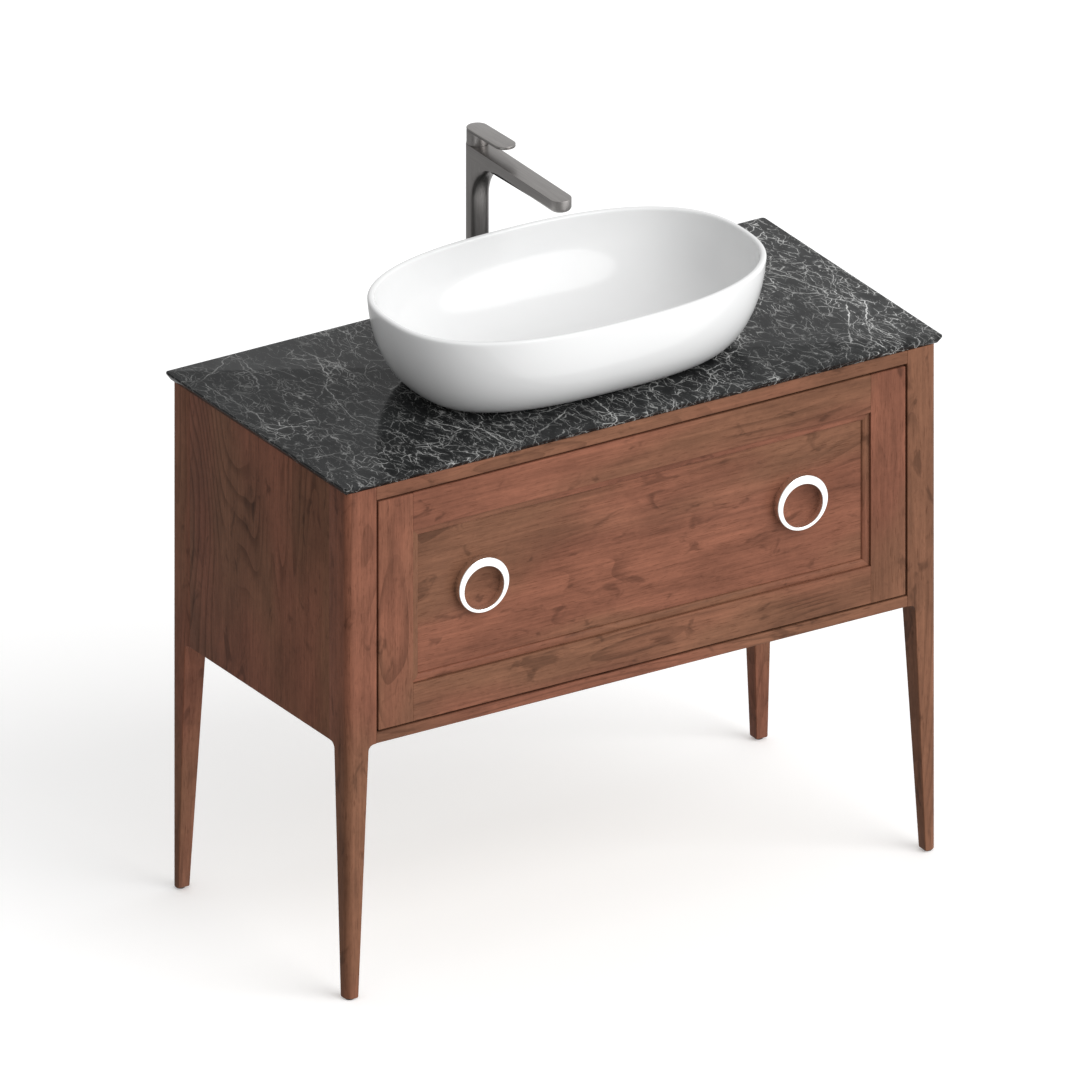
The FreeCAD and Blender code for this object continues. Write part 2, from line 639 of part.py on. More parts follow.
SIDE_ANGLES = (0, 10, 20, 32, 45, 58, 70, 80, 90)
RIM_SHARE = 0.4
basin = doc.addObject("Part::Feature", "basin")
rim_oval = (size("basin_length"), size("basin_depth"), size("rim_oval"))
foot_oval = (size("basin_foot_length"), size("basin_foot_depth"), size("foot_oval"))
inner_rim = (rim_oval[0] - 2 * size("basin_wall"), rim_oval[1] - 2 * size("basin_wall"), rim_oval[2])
bowl_flat = (size("bowl_flat_length"), size("bowl_flat_depth"), size("foot_oval"))
outer_solid = swell(rim_oval, foot_oval, 0, size("basin_tall"), size("wall_oval"), SIDE_ANGLES)
inner_solid = swell(inner_rim, bowl_flat, size("basin_floor"), size("basin_tall") + 0.01, 2, SIDE_ANGLES)
waste_bore = Part.makeCylinder(size("waste_tube_rad") + size("waste_hole_play"), 2 * size("basin_tall"),
                               Vector(0, 0, -1))
bowl_shape = outer_solid.cut(inner_solid).cut(waste_bore)
rim_edges = [edge for edge in bowl_shape.Edges if edge.BoundBox.ZMin > size("basin_tall") - 0.5]
basin.Shape = bowl_shape.makeFillet(RIM_SHARE * size("basin_wall"), rim_edges)
place(basin, "0", BASIN_BACK, "top_height")
finish(basin)

# --- Waste and trap -------------------------------------------------------------------------------

AXIS = ("0", BASIN_BACK)
FLANGE = f"({BOWL} + seal_thick)"
TUBE_END = "(top_height - waste_long)"

finish(tube("waste_seal", f"{FLANGE_RAD} - seal_in", "waste_tube_rad + seal_play", "seal_thick", (*AXIS, BOWL)))
waste_shell = turned("waste_shell", [
    ("waste_tube_rad - waste_wall", f"{FLANGE} + flange_thick"),
    (f"{FLANGE_RAD} - flange_edge", f"{FLANGE} + flange_thick"),
    (FLANGE_RAD, f"{FLANGE} + flange_thick / 2"),
    (f"{FLANGE_RAD} - flange_edge", FLANGE),
    ("waste_tube_rad", FLANGE),
    ("waste_tube_rad", TUBE_END),
    ("tail_rad", f"{TUBE_END} - waste_cone"),
    ("tail_rad", f"{TUBE_END} - tail_long"),
    ("tail_rad - tail_wall", f"{TUBE_END} - tail_long"),
    ("tail_rad - tail_wall", f"{TUBE_END} - waste_cone / 2"),
    ("waste_tube_rad - waste_wall", f"{TUBE_END} + waste_cone"),
], (*AXIS, "0"))
BRIDGE = f"({FLANGE} - plug_stem_long + stem_below)"
BRIDGE_REACH = "(waste_tube_rad - waste_wall / 2)"
waste_bridge = block("waste_bridge", (f"0 - {BRIDGE_REACH}", f"{BASIN_BACK} - bridge_half",
                                      f"{BRIDGE} - bridge_tall"),
                     (BRIDGE_REACH, f"{BASIN_BACK} + bridge_half", BRIDGE))
finish(cut("waste_body", fuse("waste_joined", waste_shell, waste_bridge),
           rod("waste_guide", "plug_stem_rad + run_play", "3 * bridge_tall", (*AXIS, f"{BRIDGE} - 2 * bridge_tall"))))
finish(tube("waste_washer", "waste_tube_rad + washer_wide", "waste_tube_rad + thread_play", "washer_thick",
            (*AXIS, f"{UNDER} - washer_thick")))

nut_hex = doc.addObject("Part::Prism", "waste_nut_hex")
nut_hex.Polygon = 6
place(tie(nut_hex, Circumradius="waste_tube_rad + nut_wide", Height="nut_thick"), *AXIS,
      f"{UNDER} - washer_thick - nut_thick")
finish(cut("waste_nut", nut_hex, rod("waste_nut_bore", "waste_tube_rad + thread_play", "3 * nut_thick",
                                    (*AXIS, f"{UNDER} - 3 * nut_thick"))))

PLUG = f"({FLANGE} + flange_thick)"
finish(turned("waste_plug", [
    ("0", f"{PLUG} + plug_thick + plug_crown"),
    (f"{PLUG_RAD} / 2", f"{PLUG} + plug_thick + 3 * plug_crown / 4"),
    (f"{PLUG_RAD} - plug_edge", f"{PLUG} + plug_thick"),
    (PLUG_RAD, f"{PLUG} + plug_thick - plug_edge"),
    (PLUG_RAD, f"{PLUG} + plug_gap + plug_edge / 2"),
    (f"{PLUG_RAD} - plug_edge", f"{PLUG} + plug_gap"),
    ("plug_stem_rad + plug_boss", f"{PLUG} + plug_gap"),
    ("plug_stem_rad", f"{PLUG} - plug_boss"),
    ("plug_stem_rad", f"{FLANGE} - plug_stem_long"),
    ("0", f"{FLANGE} - plug_stem_long"),
], (*AXIS, "0")))
finish(tube("plug_seal", "waste_tube_rad - waste_wall - seal_play", "plug_stem_rad + 2 * run_play",
            "plug_seal_thick", (*AXIS, f"{PLUG} - plug_seal_drop")))

NECK = "(tail_rad + tail_play)"
trap_shell = turned("trap_shell", [
    (NECK, TRAP_TOP), (f"{NECK} + trap_wall", TRAP_TOP), (f"{NECK} + trap_wall", f"{TRAP_TOP} - neck_tall"),
    ("trap_rad", f"{TRAP_TOP} - neck_tall - trap_shoulder"), ("trap_rad", TRAP_LOW),
    ("trap_rad - trap_wall", TRAP_LOW), ("trap_rad - trap_wall", f"{TRAP_TOP} - {NECK_DEEP}"),
    (NECK, f"{TRAP_TOP} - neck_tall - trap_wall"),
], (*AXIS, "0"))
OUTLET_START = f"{BASIN_BACK} + trap_rad - stub_sunk"
outlet_stub = rod("outlet_stub", "outlet_rad + trap_wall", "stub_long", ("0", OUTLET_START, OUTLET), "+Y")
trap_chamber = rod("trap_chamber", "trap_rad - trap_wall", f"trap_head_tall - {NECK_DEEP}", (*AXIS, TRAP_LOW))
outlet_bore = rod("outlet_bore", "outlet_rad + tail_play", "trap_rad + stub_long", (*AXIS, OUTLET), "+Y")
finish(cut("trap_body", fuse("trap_joined", trap_shell, outlet_stub), trap_chamber, outlet_bore))
CUP_LOW = f"({TRAP_LOW} + cup_lap - cup_tall)"
finish(turned("trap_cup", [
    ("0", CUP_LOW),
    ("trap_rad - cup_in", CUP_LOW),
    ("trap_rad + cup_play + trap_wall", f"{CUP_LOW} + cup_round"),
    ("trap_rad + cup_play + trap_wall", f"{TRAP_LOW} + cup_lap"),
    ("trap_rad + cup_play", f"{TRAP_LOW} + cup_lap"),
    ("trap_rad + cup_play", f"{CUP_LOW} + cup_round + trap_wall / 3"),
    ("trap_rad - cup_in - trap_wall / 2", f"{CUP_LOW} + trap_wall"),
    ("0", f"{CUP_LOW} + trap_wall"),
], (*AXIS, "0")))
finish(tube("trap_inlet_nut", f"{NECK} + slip_nut_wide", f"{NECK} + trap_wall + thread_play", "slip_nut_tall",
            (*AXIS, f"{TRAP_TOP} - slip_nut_tall - slip_nut_gap")))
finish(tube("trap_inlet_seal", f"{NECK} + slip_seal_wide", "tail_rad + 2 * run_play", "slip_seal_tall",
            (*AXIS, TRAP_TOP)))
finish(tube("trap_outlet_nut", "outlet_rad + slip_nut_wide", "outlet_rad + trap_wall + thread_play",
            "slip_nut_tall", ("0", f"{OUTLET_START} + stub_long - slip_nut_tall - 2 * slip_nut_gap", OUTLET), "+Y"))
PIPE_START = f"({OUTLET_START} + stub_sunk)"
PIPE_END = f"({TAP_BACK} - pipe_gap)"
pipe_wall = rod("pipe_wall", "outlet_rad", f"{PIPE_END} - {PIPE_START}", ("0", PIPE_START, OUTLET), "+Y")
pipe_stop = rod("pipe_stop", "outlet_rad + stop_wide", "stop_thick",
                ("0", f"{PIPE_END} - spigot_long - stop_thick", OUTLET), "+Y")
finish(cut("trap_outlet_pipe", fuse("pipe_joined", pipe_wall, pipe_stop),
           rod("pipe_bore", "outlet_rad - tail_wall", f"{PIPE_END} - {PIPE_START}", ("0", PIPE_START, OUTLET), "+Y")))

# --- Tap ------------------------------------------------------------------------------------------

TAP = ("0", TAP_BACK)
FOOT = "(top_height + base_seal)"
TIP = ("0", f"{TAP_BACK} - spout_reach")
RADIUS_AT_SEAT = f"sqrt({HUB_RAD} * {HUB_RAD} + pivot_lift * pivot_lift)"


def stadium(half, reach, height):
    """A slot-shaped wire round the tap's axis, longer towards the front."""
    left = Vector(-half, 0, height)
    right = Vector(half, 0, height)
    ahead = Vector(0, -reach, 0)
    front = Part.Arc(left + ahead, Vector(0, -reach - half, height), right + ahead)
    back = Part.Arc(right, Vector(0, half, height), left)
    return Part.Wire([Part.LineSegment(left, left + ahead).toShape(), front.toShape(),
                      Part.LineSegment(right + ahead, right).toShape(), back.toShape()])


def flare():
    """The hollow-fronted solid that grows from the column forward into the spout."""
    radius = size("spout_blend")
    top = size("spout_top") - size("spout_thick")
    wires = []
    for angle in range(3, 93, 3):
        drop = radius * (1 - math.sin(math.radians(angle)))
        reach = radius * (1 - math.cos(math.radians(angle)))
        wires.append(stadium(size("column_rad") - size("spout_in"), reach, top - drop))
    return Part.makeLoft(wires, True, True)


spout_flare = doc.addObject("Part::Feature", "spout_flare")
spout_flare.Shape = flare()
place(spout_flare, *TAP, "top_height")
spout_bar = fuse("spout_bar",
                 block("spout_block", (f"0 - {SPOUT_HALF}", f"{TAP_BACK} - spout_reach", f"{SPOUT} - spout_thick"),
                       (SPOUT_HALF, TAP_BACK, SPOUT)),
                 rod("spout_end", SPOUT_HALF, "spout_thick", (*TIP, f"{SPOUT} - spout_thick")))
TAP_Y = size("top_depth") / 2 - size("tap_edge")
spout_round = soften("spout_round", spout_bar, lambda box: (
    flat(box.ZMin, size("top_height") + size("spout_top") - size("spout_thick")) and box.ZLength < 1e-3
    and box.YMin < TAP_Y - 1), "spout_edge", "Part::Fillet")
column = rod("tap_column", "column_rad", "spout_top - base_seal", (*TAP, FOOT))
tap_solid = fuse("tap_solid", column, spout_flare, spout_round)
seat = ball("hub_seat", f"{RADIUS_AT_SEAT} + hub_play", (*TAP, PIVOT))
CARTRIDGE_TOP = f"({SPOUT} - cartridge_sunk)"
chamber = rod("cartridge_chamber", f"{CARTRIDGE_RAD} + 2 * run_play", "cartridge_tall + 2 * cartridge_sunk",
              (*TAP, f"{CARTRIDGE_TOP} - cartridge_tall"))
bore = rod("column_bore_cut", "column_bore", "spout_top - cartridge_tall", (*TAP, "top_height"))
water = rod("water_way", "water_rad", "spout_reach", (*TAP, f"{SPOUT} - spout_thick / 2"), "-Y")
mouth = rod("aerator_mouth", "aerator_rad", "aerator_tall", (*TIP, f"{SPOUT} - spout_thick"))
finish(cut("tap_body", tap_solid, seat, chamber, bore, water, mouth))

finish(tube("tap_base_seal", "column_rad - base_seal_in", f"{SHANK_RAD} + thread_play", "base_seal",
            (*TAP, "top_height")))
finish(cut("tap_shank", rod("shank_rod", SHANK_RAD, "shank_long + base_seal", (*TAP, "top_height - shank_long")),
           *[rod(f"inlet_{side}", "inlet_rad", "inlet_deep",
                 (f"{sign} * inlet_half", TAP_BACK, "top_height - shank_long"))
             for side, sign in (("left", -1), ("right", 1))]))
finish(cut("tap_clamp", rod("clamp_disc", "clamp_rad", "clamp_thick", (*TAP, f"{UNDER} - clamp_thick")),
           rod("clamp_bore", f"{SHANK_RAD} + shank_play", "3 * clamp_thick", (*TAP, f"{UNDER} - 2 * clamp_thick")),
           block("clamp_slot", (f"0 - {SHANK_RAD} - shank_play", f"{TAP_BACK} - 2 * clamp_rad",
                                f"{UNDER} - 2 * clamp_thick"),
                 (f"{SHANK_RAD} + shank_play", TAP_BACK, f"{UNDER} + clamp_thick"))))
tap_hex = doc.addObject("Part::Prism", "tap_nut_hex")
tap_hex.Polygon = 6
place(tie(tap_hex, Circumradius=f"{SHANK_RAD} + tap_nut_wide", Height="tap_nut_tall"), *TAP,
      f"{UNDER} - clamp_thick - tap_nut_tall")
finish(cut("tap_nut", tap_hex, rod("tap_nut_bore", f"{SHANK_RAD} + thread_play", "3 * tap_nut_tall",
                                   (*TAP, f"{UNDER} - clamp_thick - 2 * tap_nut_tall"))))

finish(cut("aerator", rod("aerator_shell", "aerator_rad", "aerator_tall", (*TIP, f"{SPOUT} - spout_thick")),
           rod("aerator_hollow", "aerator_rad - aerator_wall", "aerator_lip", (*TIP, f"{SPOUT} - spout_thick")),
           *[rod(f"aerator_jet_{number}", "jet_rad", "2 * aerator_tall",
                 (f"jet_ring * {math.cos(number * math.pi / 3):.3f}",
                  f"{TAP_BACK} - spout_reach + jet_ring * {math.sin(number * math.pi / 3):.3f}",
                  f"{SPOUT} - spout_thick - aerator_tall / 2"))
             for number in range(6)]))

STEM_LOW = f"({CARTRIDGE_TOP} - stem_sunk)"
finish(cut("cartridge", rod("cartridge_case", CARTRIDGE_RAD, "cartridge_tall - cartridge_gap",
                           (*TAP, f"{CARTRIDGE_TOP} - cartridge_tall")),
           rod("cartridge_socket", "stem_rad + run_play", "2 * stem_sunk", (*TAP, f"{STEM_LOW} - stem_gap"))))
finish(cut("cartridge_stem",
           fuse("stem_joined", rod("stem_rod", "stem_rad", f"{PIVOT} - {STEM_LOW}", (*TAP, STEM_LOW)),
                ball("stem_ball_head", "stem_ball", (*TAP, PIVOT))),
           rod("stem_pin_hole", "pin_rad + run_play", "4 * stem_ball", ("0 - 2 * stem_ball", TAP_BACK, PIVOT),
               "+X")))

hub_drum = rod("hub_drum", HUB_RAD, "hub_tall", (*TAP, SPOUT))
hub_ball = ball("hub_ball", RADIUS_AT_SEAT, (*TAP, PIVOT))
hub_ball_low = cut("hub_ball_low", hub_ball,
                   block("hub_ball_trim", (f"0 - 2 * {HUB_RAD}", f"{TAP_BACK} - 2 * {HUB_RAD}", SPOUT),
                         (f"2 * {HUB_RAD}", f"{TAP_BACK} + 2 * {HUB_RAD}", f"{SPOUT} + 4 * {HUB_RAD}")))
plate_flat = doc.addObject("Part::Feature", "lever_plate")
plate_face = Part.Face(stadium(size("column_rad") - size("hub_in"), size("lever_long"), 0))
plate_flat.Shape = plate_face.extrude(Vector(0, 0, size("lever_thick")))
plate_flat.Placement = Placement(Vector(), Rotation(Vector(1, 0, 0), -size("lever_rise")))
place(plate_flat, *TAP, f"{SPOUT} + hub_tall")
hub_bore = fuse("hub_hollow_cut", rod("hub_bore_low", "hub_bore", f"2 * {HUB_RAD} + hub_hollow",
                                      (*TAP, f"{PIVOT} - 2 * {HUB_RAD}")),
                ball("hub_bore_dome", "hub_bore", (*TAP, f"{PIVOT} + hub_hollow")))
lever_pin_hole = rod("lever_pin_hole", "pin_rad", "pin_long", ("0 - pin_long / 2", TAP_BACK, PIVOT), "+X")
finish(cut("lever", fuse("lever_joined", hub_drum, hub_ball_low, plate_flat), hub_bore, lever_pin_hole))
finish(rod("lever_pin", "pin_rad", "pin_long", ("0 - pin_long / 2", TAP_BACK, PIVOT), "+X"))

# --- Drawer front ---------------------------------------------------------------------------------

STILE_IN = f"({FACE_HALF} - stile_wide)"
PANEL_TOP = f"({FACE_TOP} - stile_wide)"
PANEL_LOW = f"({FACE_LOW} + stile_wide)"
for side_name, sign in (("left", -1), ("right", 1)):
    near = f"{sign} * {STILE_IN}"
    far = f"{sign} * {FACE_HALF}"
    low_x, high_x = (far, near) if sign < 0 else (near, far)
    finish(board(f"drawer_stile_{side_name}", (low_x, FRONT, FACE_LOW), (high_x, FACE_BACK, FACE_TOP)))
finish(board("drawer_rail_top", (f"0 - {STILE_IN}", FRONT, PANEL_TOP), (STILE_IN, FACE_BACK, FACE_TOP), "lengths"))
finish(board("drawer_rail_bottom", (f"0 - {STILE_IN}", FRONT, FACE_LOW), (STILE_IN, FACE_BACK, PANEL_LOW),
             "lengths"))

BEAD_FACE = f"({FRONT} + bead_step)"
BEAD_THICK = "(panel_step - bead_step + bead_sunk)"
SPAN = STILE_IN
RISE = f"(({PANEL_TOP} - {PANEL_LOW}) / 2)"
MIDDLE = f"(({PANEL_TOP} + {PANEL_LOW}) / 2)"
LEVEL = [("top", [(f"0 - {SPAN}", RISE), (SPAN, RISE), (f"{SPAN} - bead_wide", f"{RISE} - bead_wide"),
                  (f"bead_wide - {SPAN}", f"{RISE} - bead_wide")]),
         ("bottom", [(f"0 - {SPAN}", f"0 - {RISE}"), (SPAN, f"0 - {RISE}"),
                     (f"{SPAN} - bead_wide", f"bead_wide - {RISE}"),
                     (f"bead_wide - {SPAN}", f"bead_wide - {RISE}")])]
UPRIGHT = [("left", [(f"0 - {SPAN}", RISE), (f"bead_wide - {SPAN}", f"{RISE} - bead_wide"),
                     (f"bead_wide - {SPAN}", f"bead_wide - {RISE}"), (f"0 - {SPAN}", f"0 - {RISE}")]),
           ("right", [(SPAN, RISE), (f"{SPAN} - bead_wide", f"{RISE} - bead_wide"),
                      (f"{SPAN} - bead_wide", f"bead_wide - {RISE}"), (SPAN, f"0 - {RISE}")])]
for pair_name, pair in (("beads_level", LEVEL), ("beads_upright", UPRIGHT)):
    finish(group(pair_name, *[prism(f"bead_{side}", "XZ_Plane", points, BEAD_THICK,
                                    ("0", BEAD_FACE, MIDDLE), flip=True) for side, points in pair]))

PANEL_FACE = f"({FRONT} + panel_step)"
panel_board = block("panel_board", (f"0 - {STILE_IN}", PANEL_FACE, PANEL_LOW),
                    (STILE_IN, f"{PANEL_FACE} + panel_thick", PANEL_TOP))
bead_bed = group("bead_bed", block("bead_bed_a", (f"0 - {STILE_IN}", f"{FRONT}", PANEL_LOW),
                                   (f"bead_wide - {STILE_IN}", f"{BEAD_FACE} + {BEAD_THICK}", PANEL_TOP)),
                 block("bead_bed_b", (f"{STILE_IN} - bead_wide", f"{FRONT}", PANEL_LOW),
                       (STILE_IN, f"{BEAD_FACE} + {BEAD_THICK}", PANEL_TOP)),
                 block("bead_bed_c", (f"0 - {STILE_IN}", f"{FRONT}", PANEL_LOW),
                       (STILE_IN, f"{BEAD_FACE} + {BEAD_THICK}", f"{PANEL_LOW} + bead_wide")),
                 block("bead_bed_d", (f"0 - {STILE_IN}", f"{FRONT}", f"{PANEL_TOP} - bead_wide"),
                       (STILE_IN, f"{BEAD_FACE} + {BEAD_THICK}", PANEL_TOP)))
# The dish is part of a ball whose cap fills the ring's opening and is dish_deep at its middle.
BALL_RAD = "((pull_hole_rad * pull_hole_rad + dish_deep * dish_deep) / (2 * dish_deep))"
dishes = [ball(f"dish_{side}", BALL_RAD, (f"{sign} * pull_span / 2", f"{PANEL_FACE} + dish_deep - {BALL_RAD}",
                                          PULL_HOLE)) for side, sign in (("left", -1), ("right", 1))]
finish(cut("drawer_panel", panel_board, bead_bed, *dishes))

for side_name, sign in (("left", -1), ("right", 1)):
    ring = cut(f"ring_{side_name}", *[
        rod(f"ring_{side_name}_{part}", radius, "panel_step + pull_proud",
            (f"{sign} * pull_span / 2", f"{FRONT} - pull_proud", height), "+Y")
        for part, radius, height in (("disc", "pull_rad", PULL_HIGH), ("opening", "pull_hole_rad", PULL_HOLE))])
    doc.recompute()
    face_y = ring.Shape.BoundBox.YMin
    rounded = soften(f"pull_{side_name}", ring, lambda box: flat(box.YMax, face_y), "arris", "Part::Fillet")
    finish(rounded)
screws("pull_screws", [
    ((f"{sign} * pull_span / 2 + {offset} * (pull_rad + pull_hole_rad) / 2", f"{PANEL_FACE} + panel_thick",
      PULL_HOLE), "-Y") for sign in (-1, 1) for offset in (-1, 1)], "panel_thick + pull_screw_bite",
    "pull_screw_head", "pull_screw_rad")

# --- Drawer box -----------------------------------------------------------------------------------

BOX_TOP = f"({BOX_LOW} + box_tall)"
NOTCH = f"({BASIN_BACK} - notch_front)"
FRONT_WALL_BACK = f"({FACE_BACK} + box_wall)"
FLOOR_LOW = f"({BOX_LOW} + box_floor_lift)"
FLOOR_TOP = f"({FLOOR_LOW} + box_floor)"
BOX_IN = f"({BOX_HALF} - box_wall)"
backs = []
notch_sides = []
finish(board("box_front", (f"0 - {BOX_IN}", FACE_BACK, BOX_LOW), (BOX_IN, FRONT_WALL_BACK, BOX_TOP), "upper"))
for side_name, sign in (("left", -1), ("right", 1)):
    near = f"{sign} * {BOX_IN}"
    far = f"{sign} * {BOX_HALF}"
    low_x, high_x = (far, near) if sign < 0 else (near, far)
    finish(board(f"box_side_{side_name}", (low_x, FACE_BACK, BOX_LOW), (high_x, BOX_BACK, BOX_TOP), "upper"))
    near = f"{sign} * notch_half"
    far = f"{sign} * {BOX_IN}"
    low_x, high_x = (far, near) if sign < 0 else (near, far)
    backs.append(board(f"box_back_{side_name}", (low_x, f"{BOX_BACK} - box_wall", BOX_LOW),
                       (high_x, BOX_BACK, BOX_TOP), "upper"))
    near = f"{sign} * notch_half"
    far = f"{sign} * (notch_half + box_wall)"
    low_x, high_x = (far, near) if sign < 0 else (near, far)
    notch_sides.append(board(f"notch_side_{side_name}", (low_x, NOTCH, FLOOR_TOP),
                             (high_x, f"{BOX_BACK} - box_wall", BOX_TOP), "upper"))
finish(group("box_back", *backs))
finish(group("notch_sides", *notch_sides))
finish(board("notch_front", ("0 - notch_half - box_wall", f"{NOTCH} - box_wall", FLOOR_TOP),
             ("notch_half + box_wall", NOTCH, BOX_TOP), "upper"))
finish(cut("box_bottom", block("bottom_board", (f"0 - {BOX_IN}", FRONT_WALL_BACK, FLOOR_LOW),
                               (BOX_IN, f"{BOX_BACK} - box_wall", FLOOR_TOP)),
           block("bottom_notch", ("0 - notch_half", NOTCH, f"{FLOOR_LOW} - box_floor"),
                 ("notch_half", BOX_BACK, f"{FLOOR_TOP} + box_floor"))))
screws("front_screws", [((f"{across} * {BOX_IN}", FRONT_WALL_BACK, f"{BOX_LOW} + {high} * box_tall"), "-Y")
                        for across in (-0.95, 0.95) for high in (0.25, 0.75)], "box_wall + front_screw_bite")

# --- Telescopic slides ----------------------------------------------------------------------------


def channel(name, side, start, inset_low, inset_high, front, back, open_side):
    """A sheet-metal channel: a web and two flanges, its depth measured inwards from the post."""
    near = f"({side} * ({INNER} - ({inset_low})))"
    far = f"({side} * ({INNER} - ({inset_high})))"
    low_x, high_x = (near, far) if side < 0 else (far, near)
    whole = block(f"{name}_whole", (low_x, front, f"{SLIDE_LOW} + {start}"),
                  (high_x, back, f"{SLIDE_HIGH} - {start}"))
    cut_near = near if open_side == "outer" else f"({side} * ({INNER} - ({inset_low}) - slide_plate))"
    cut_far = f"({side} * ({INNER} - ({inset_high}) + slide_plate))" if open_side == "outer" else far
    low_c, high_c = (cut_near, cut_far) if side < 0 else (cut_far, cut_near)
    hollow = block(f"{name}_hollow", (low_c, f"{front} - slide_plate", f"{SLIDE_LOW} + {start} + slide_plate"),
                   (high_c, f"{back} + slide_plate", f"{SLIDE_HIGH} - {start} - slide_plate"))
    return cut(name, whole, hollow)


STEP_IN = "(slide_plate + slide_play)"
cabinet_slides = []
drawer_slides = []
for side_name, sign in (("left", -1), ("right", 1)):
    cabinet_slides.append(channel(
        f"slide_cabinet_{side_name}", sign, "0", "0", "slide_thick - slide_plate - slide_play - slide_lip",
        f"0 - {SLIDE_END}", SLIDE_END, "inner"))
    finish(channel(f"slide_mid_{side_name}", sign, STEP_IN, STEP_IN, f"slide_thick - {STEP_IN}",
                   f"mid_short - {SLIDE_END}", f"{SLIDE_END} - mid_short", "inner"))
    drawer_slides.append(channel(f"slide_drawer_{side_name}", sign, f"2 * {STEP_IN}", f"2 * {STEP_IN}",
                                 "slide_thick", f"slide_ahead - {SLIDE_END}", f"{BOX_BACK} - slide_short", "outer"))
finish(group("slides_cabinet", *cabinet_slides))
finish(group("slides_drawer", *drawer_slides))
screws("slide_screws", [
    ((f"{sign} * ({INNER} - slide_plate + head_tall)", f"{along} * ({SLIDE_END} - slide_screw_in)", SLIDE_MIDDLE), way)
    for sign, way in ((-1, "-X"), (1, "+X")) for along in (-1, 1)], "slide_screw_long",
    "slide_screw_head", "slide_screw_rad")

# --- Check and write ------------------------------------------------------------------------------

doc.recompute()
failed = [thing.Name for thing in doc.Objects if "Invalid" in thing.State or "Error" in thing.State]
if failed:
    raise RuntimeError("these objects did not rebuild: " + ", ".join(failed))
for piece in FINISHED:
    if piece.Shape.isNull() or not piece.Shape.isValid() or not piece.Shape.Solids:
        raise RuntimeError(f"{piece.Label} has no valid solid")

os.makedirs("parts", exist_ok=True)
for piece in FINISHED:
    piece.Shape.exportStep(f"parts/{piece.Label}.step")
print(len(FINISHED), "sub-parts written")
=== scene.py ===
import json
import math

import bmesh
import bpy
from mathutils import Matrix, Vector


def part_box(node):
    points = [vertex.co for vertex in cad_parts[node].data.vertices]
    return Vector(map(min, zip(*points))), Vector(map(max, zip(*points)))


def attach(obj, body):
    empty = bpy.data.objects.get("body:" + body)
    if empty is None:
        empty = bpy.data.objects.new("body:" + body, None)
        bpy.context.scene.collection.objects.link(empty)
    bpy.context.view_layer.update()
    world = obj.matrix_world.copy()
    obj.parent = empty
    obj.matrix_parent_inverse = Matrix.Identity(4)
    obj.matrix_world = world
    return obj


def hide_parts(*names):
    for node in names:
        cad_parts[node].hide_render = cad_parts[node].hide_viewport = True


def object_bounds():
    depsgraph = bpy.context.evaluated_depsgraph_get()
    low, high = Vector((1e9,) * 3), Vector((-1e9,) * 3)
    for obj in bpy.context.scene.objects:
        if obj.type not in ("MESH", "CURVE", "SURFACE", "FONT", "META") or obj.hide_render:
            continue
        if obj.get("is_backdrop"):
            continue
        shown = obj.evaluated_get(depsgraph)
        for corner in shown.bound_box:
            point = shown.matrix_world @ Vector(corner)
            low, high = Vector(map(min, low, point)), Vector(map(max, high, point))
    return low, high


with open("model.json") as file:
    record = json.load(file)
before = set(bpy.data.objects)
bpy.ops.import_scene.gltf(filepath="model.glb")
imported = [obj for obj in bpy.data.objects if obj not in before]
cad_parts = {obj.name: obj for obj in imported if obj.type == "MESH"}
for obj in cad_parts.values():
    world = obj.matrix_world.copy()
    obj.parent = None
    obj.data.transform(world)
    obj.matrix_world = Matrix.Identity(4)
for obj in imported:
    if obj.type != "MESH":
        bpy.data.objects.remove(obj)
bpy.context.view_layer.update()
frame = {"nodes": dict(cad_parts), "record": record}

# The looks of a washstand: satin walnut, polished black marble, a glazed basin and a brushed gunmetal tap.
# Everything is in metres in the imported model's own frame.

record = frame["record"]
NODES = frame["nodes"]
BODY = {node: body for body, members in record["behaviour"]["bodies"].items() for node in members}
SLOT = {part["node"]: part["material_slot"] for part in record["subparts"]}
MM = 0.001
SMOOTH_ANGLE = math.radians(32)


# --- Shader sums ---

class Value:
    """A shader socket that takes part in sums."""

    def __init__(self, finish, socket):
        self.finish = finish
        self.socket = socket

    def sum(self, operation, first, second):
        return self.finish.add("ShaderNodeMath", {"operation": operation}, {0: first, 1: second})

    def __add__(self, other):
        return self.sum("ADD", self, other)

    def __radd__(self, other):
        return self.sum("ADD", other, self)

    def __sub__(self, other):
        return self.sum("SUBTRACT", self, other)

    def __rsub__(self, other):
        return self.sum("SUBTRACT", other, self)

    def __mul__(self, other):
        return self.sum("MULTIPLY", self, other)

    def __rmul__(self, other):
        return self.sum("MULTIPLY", other, self)


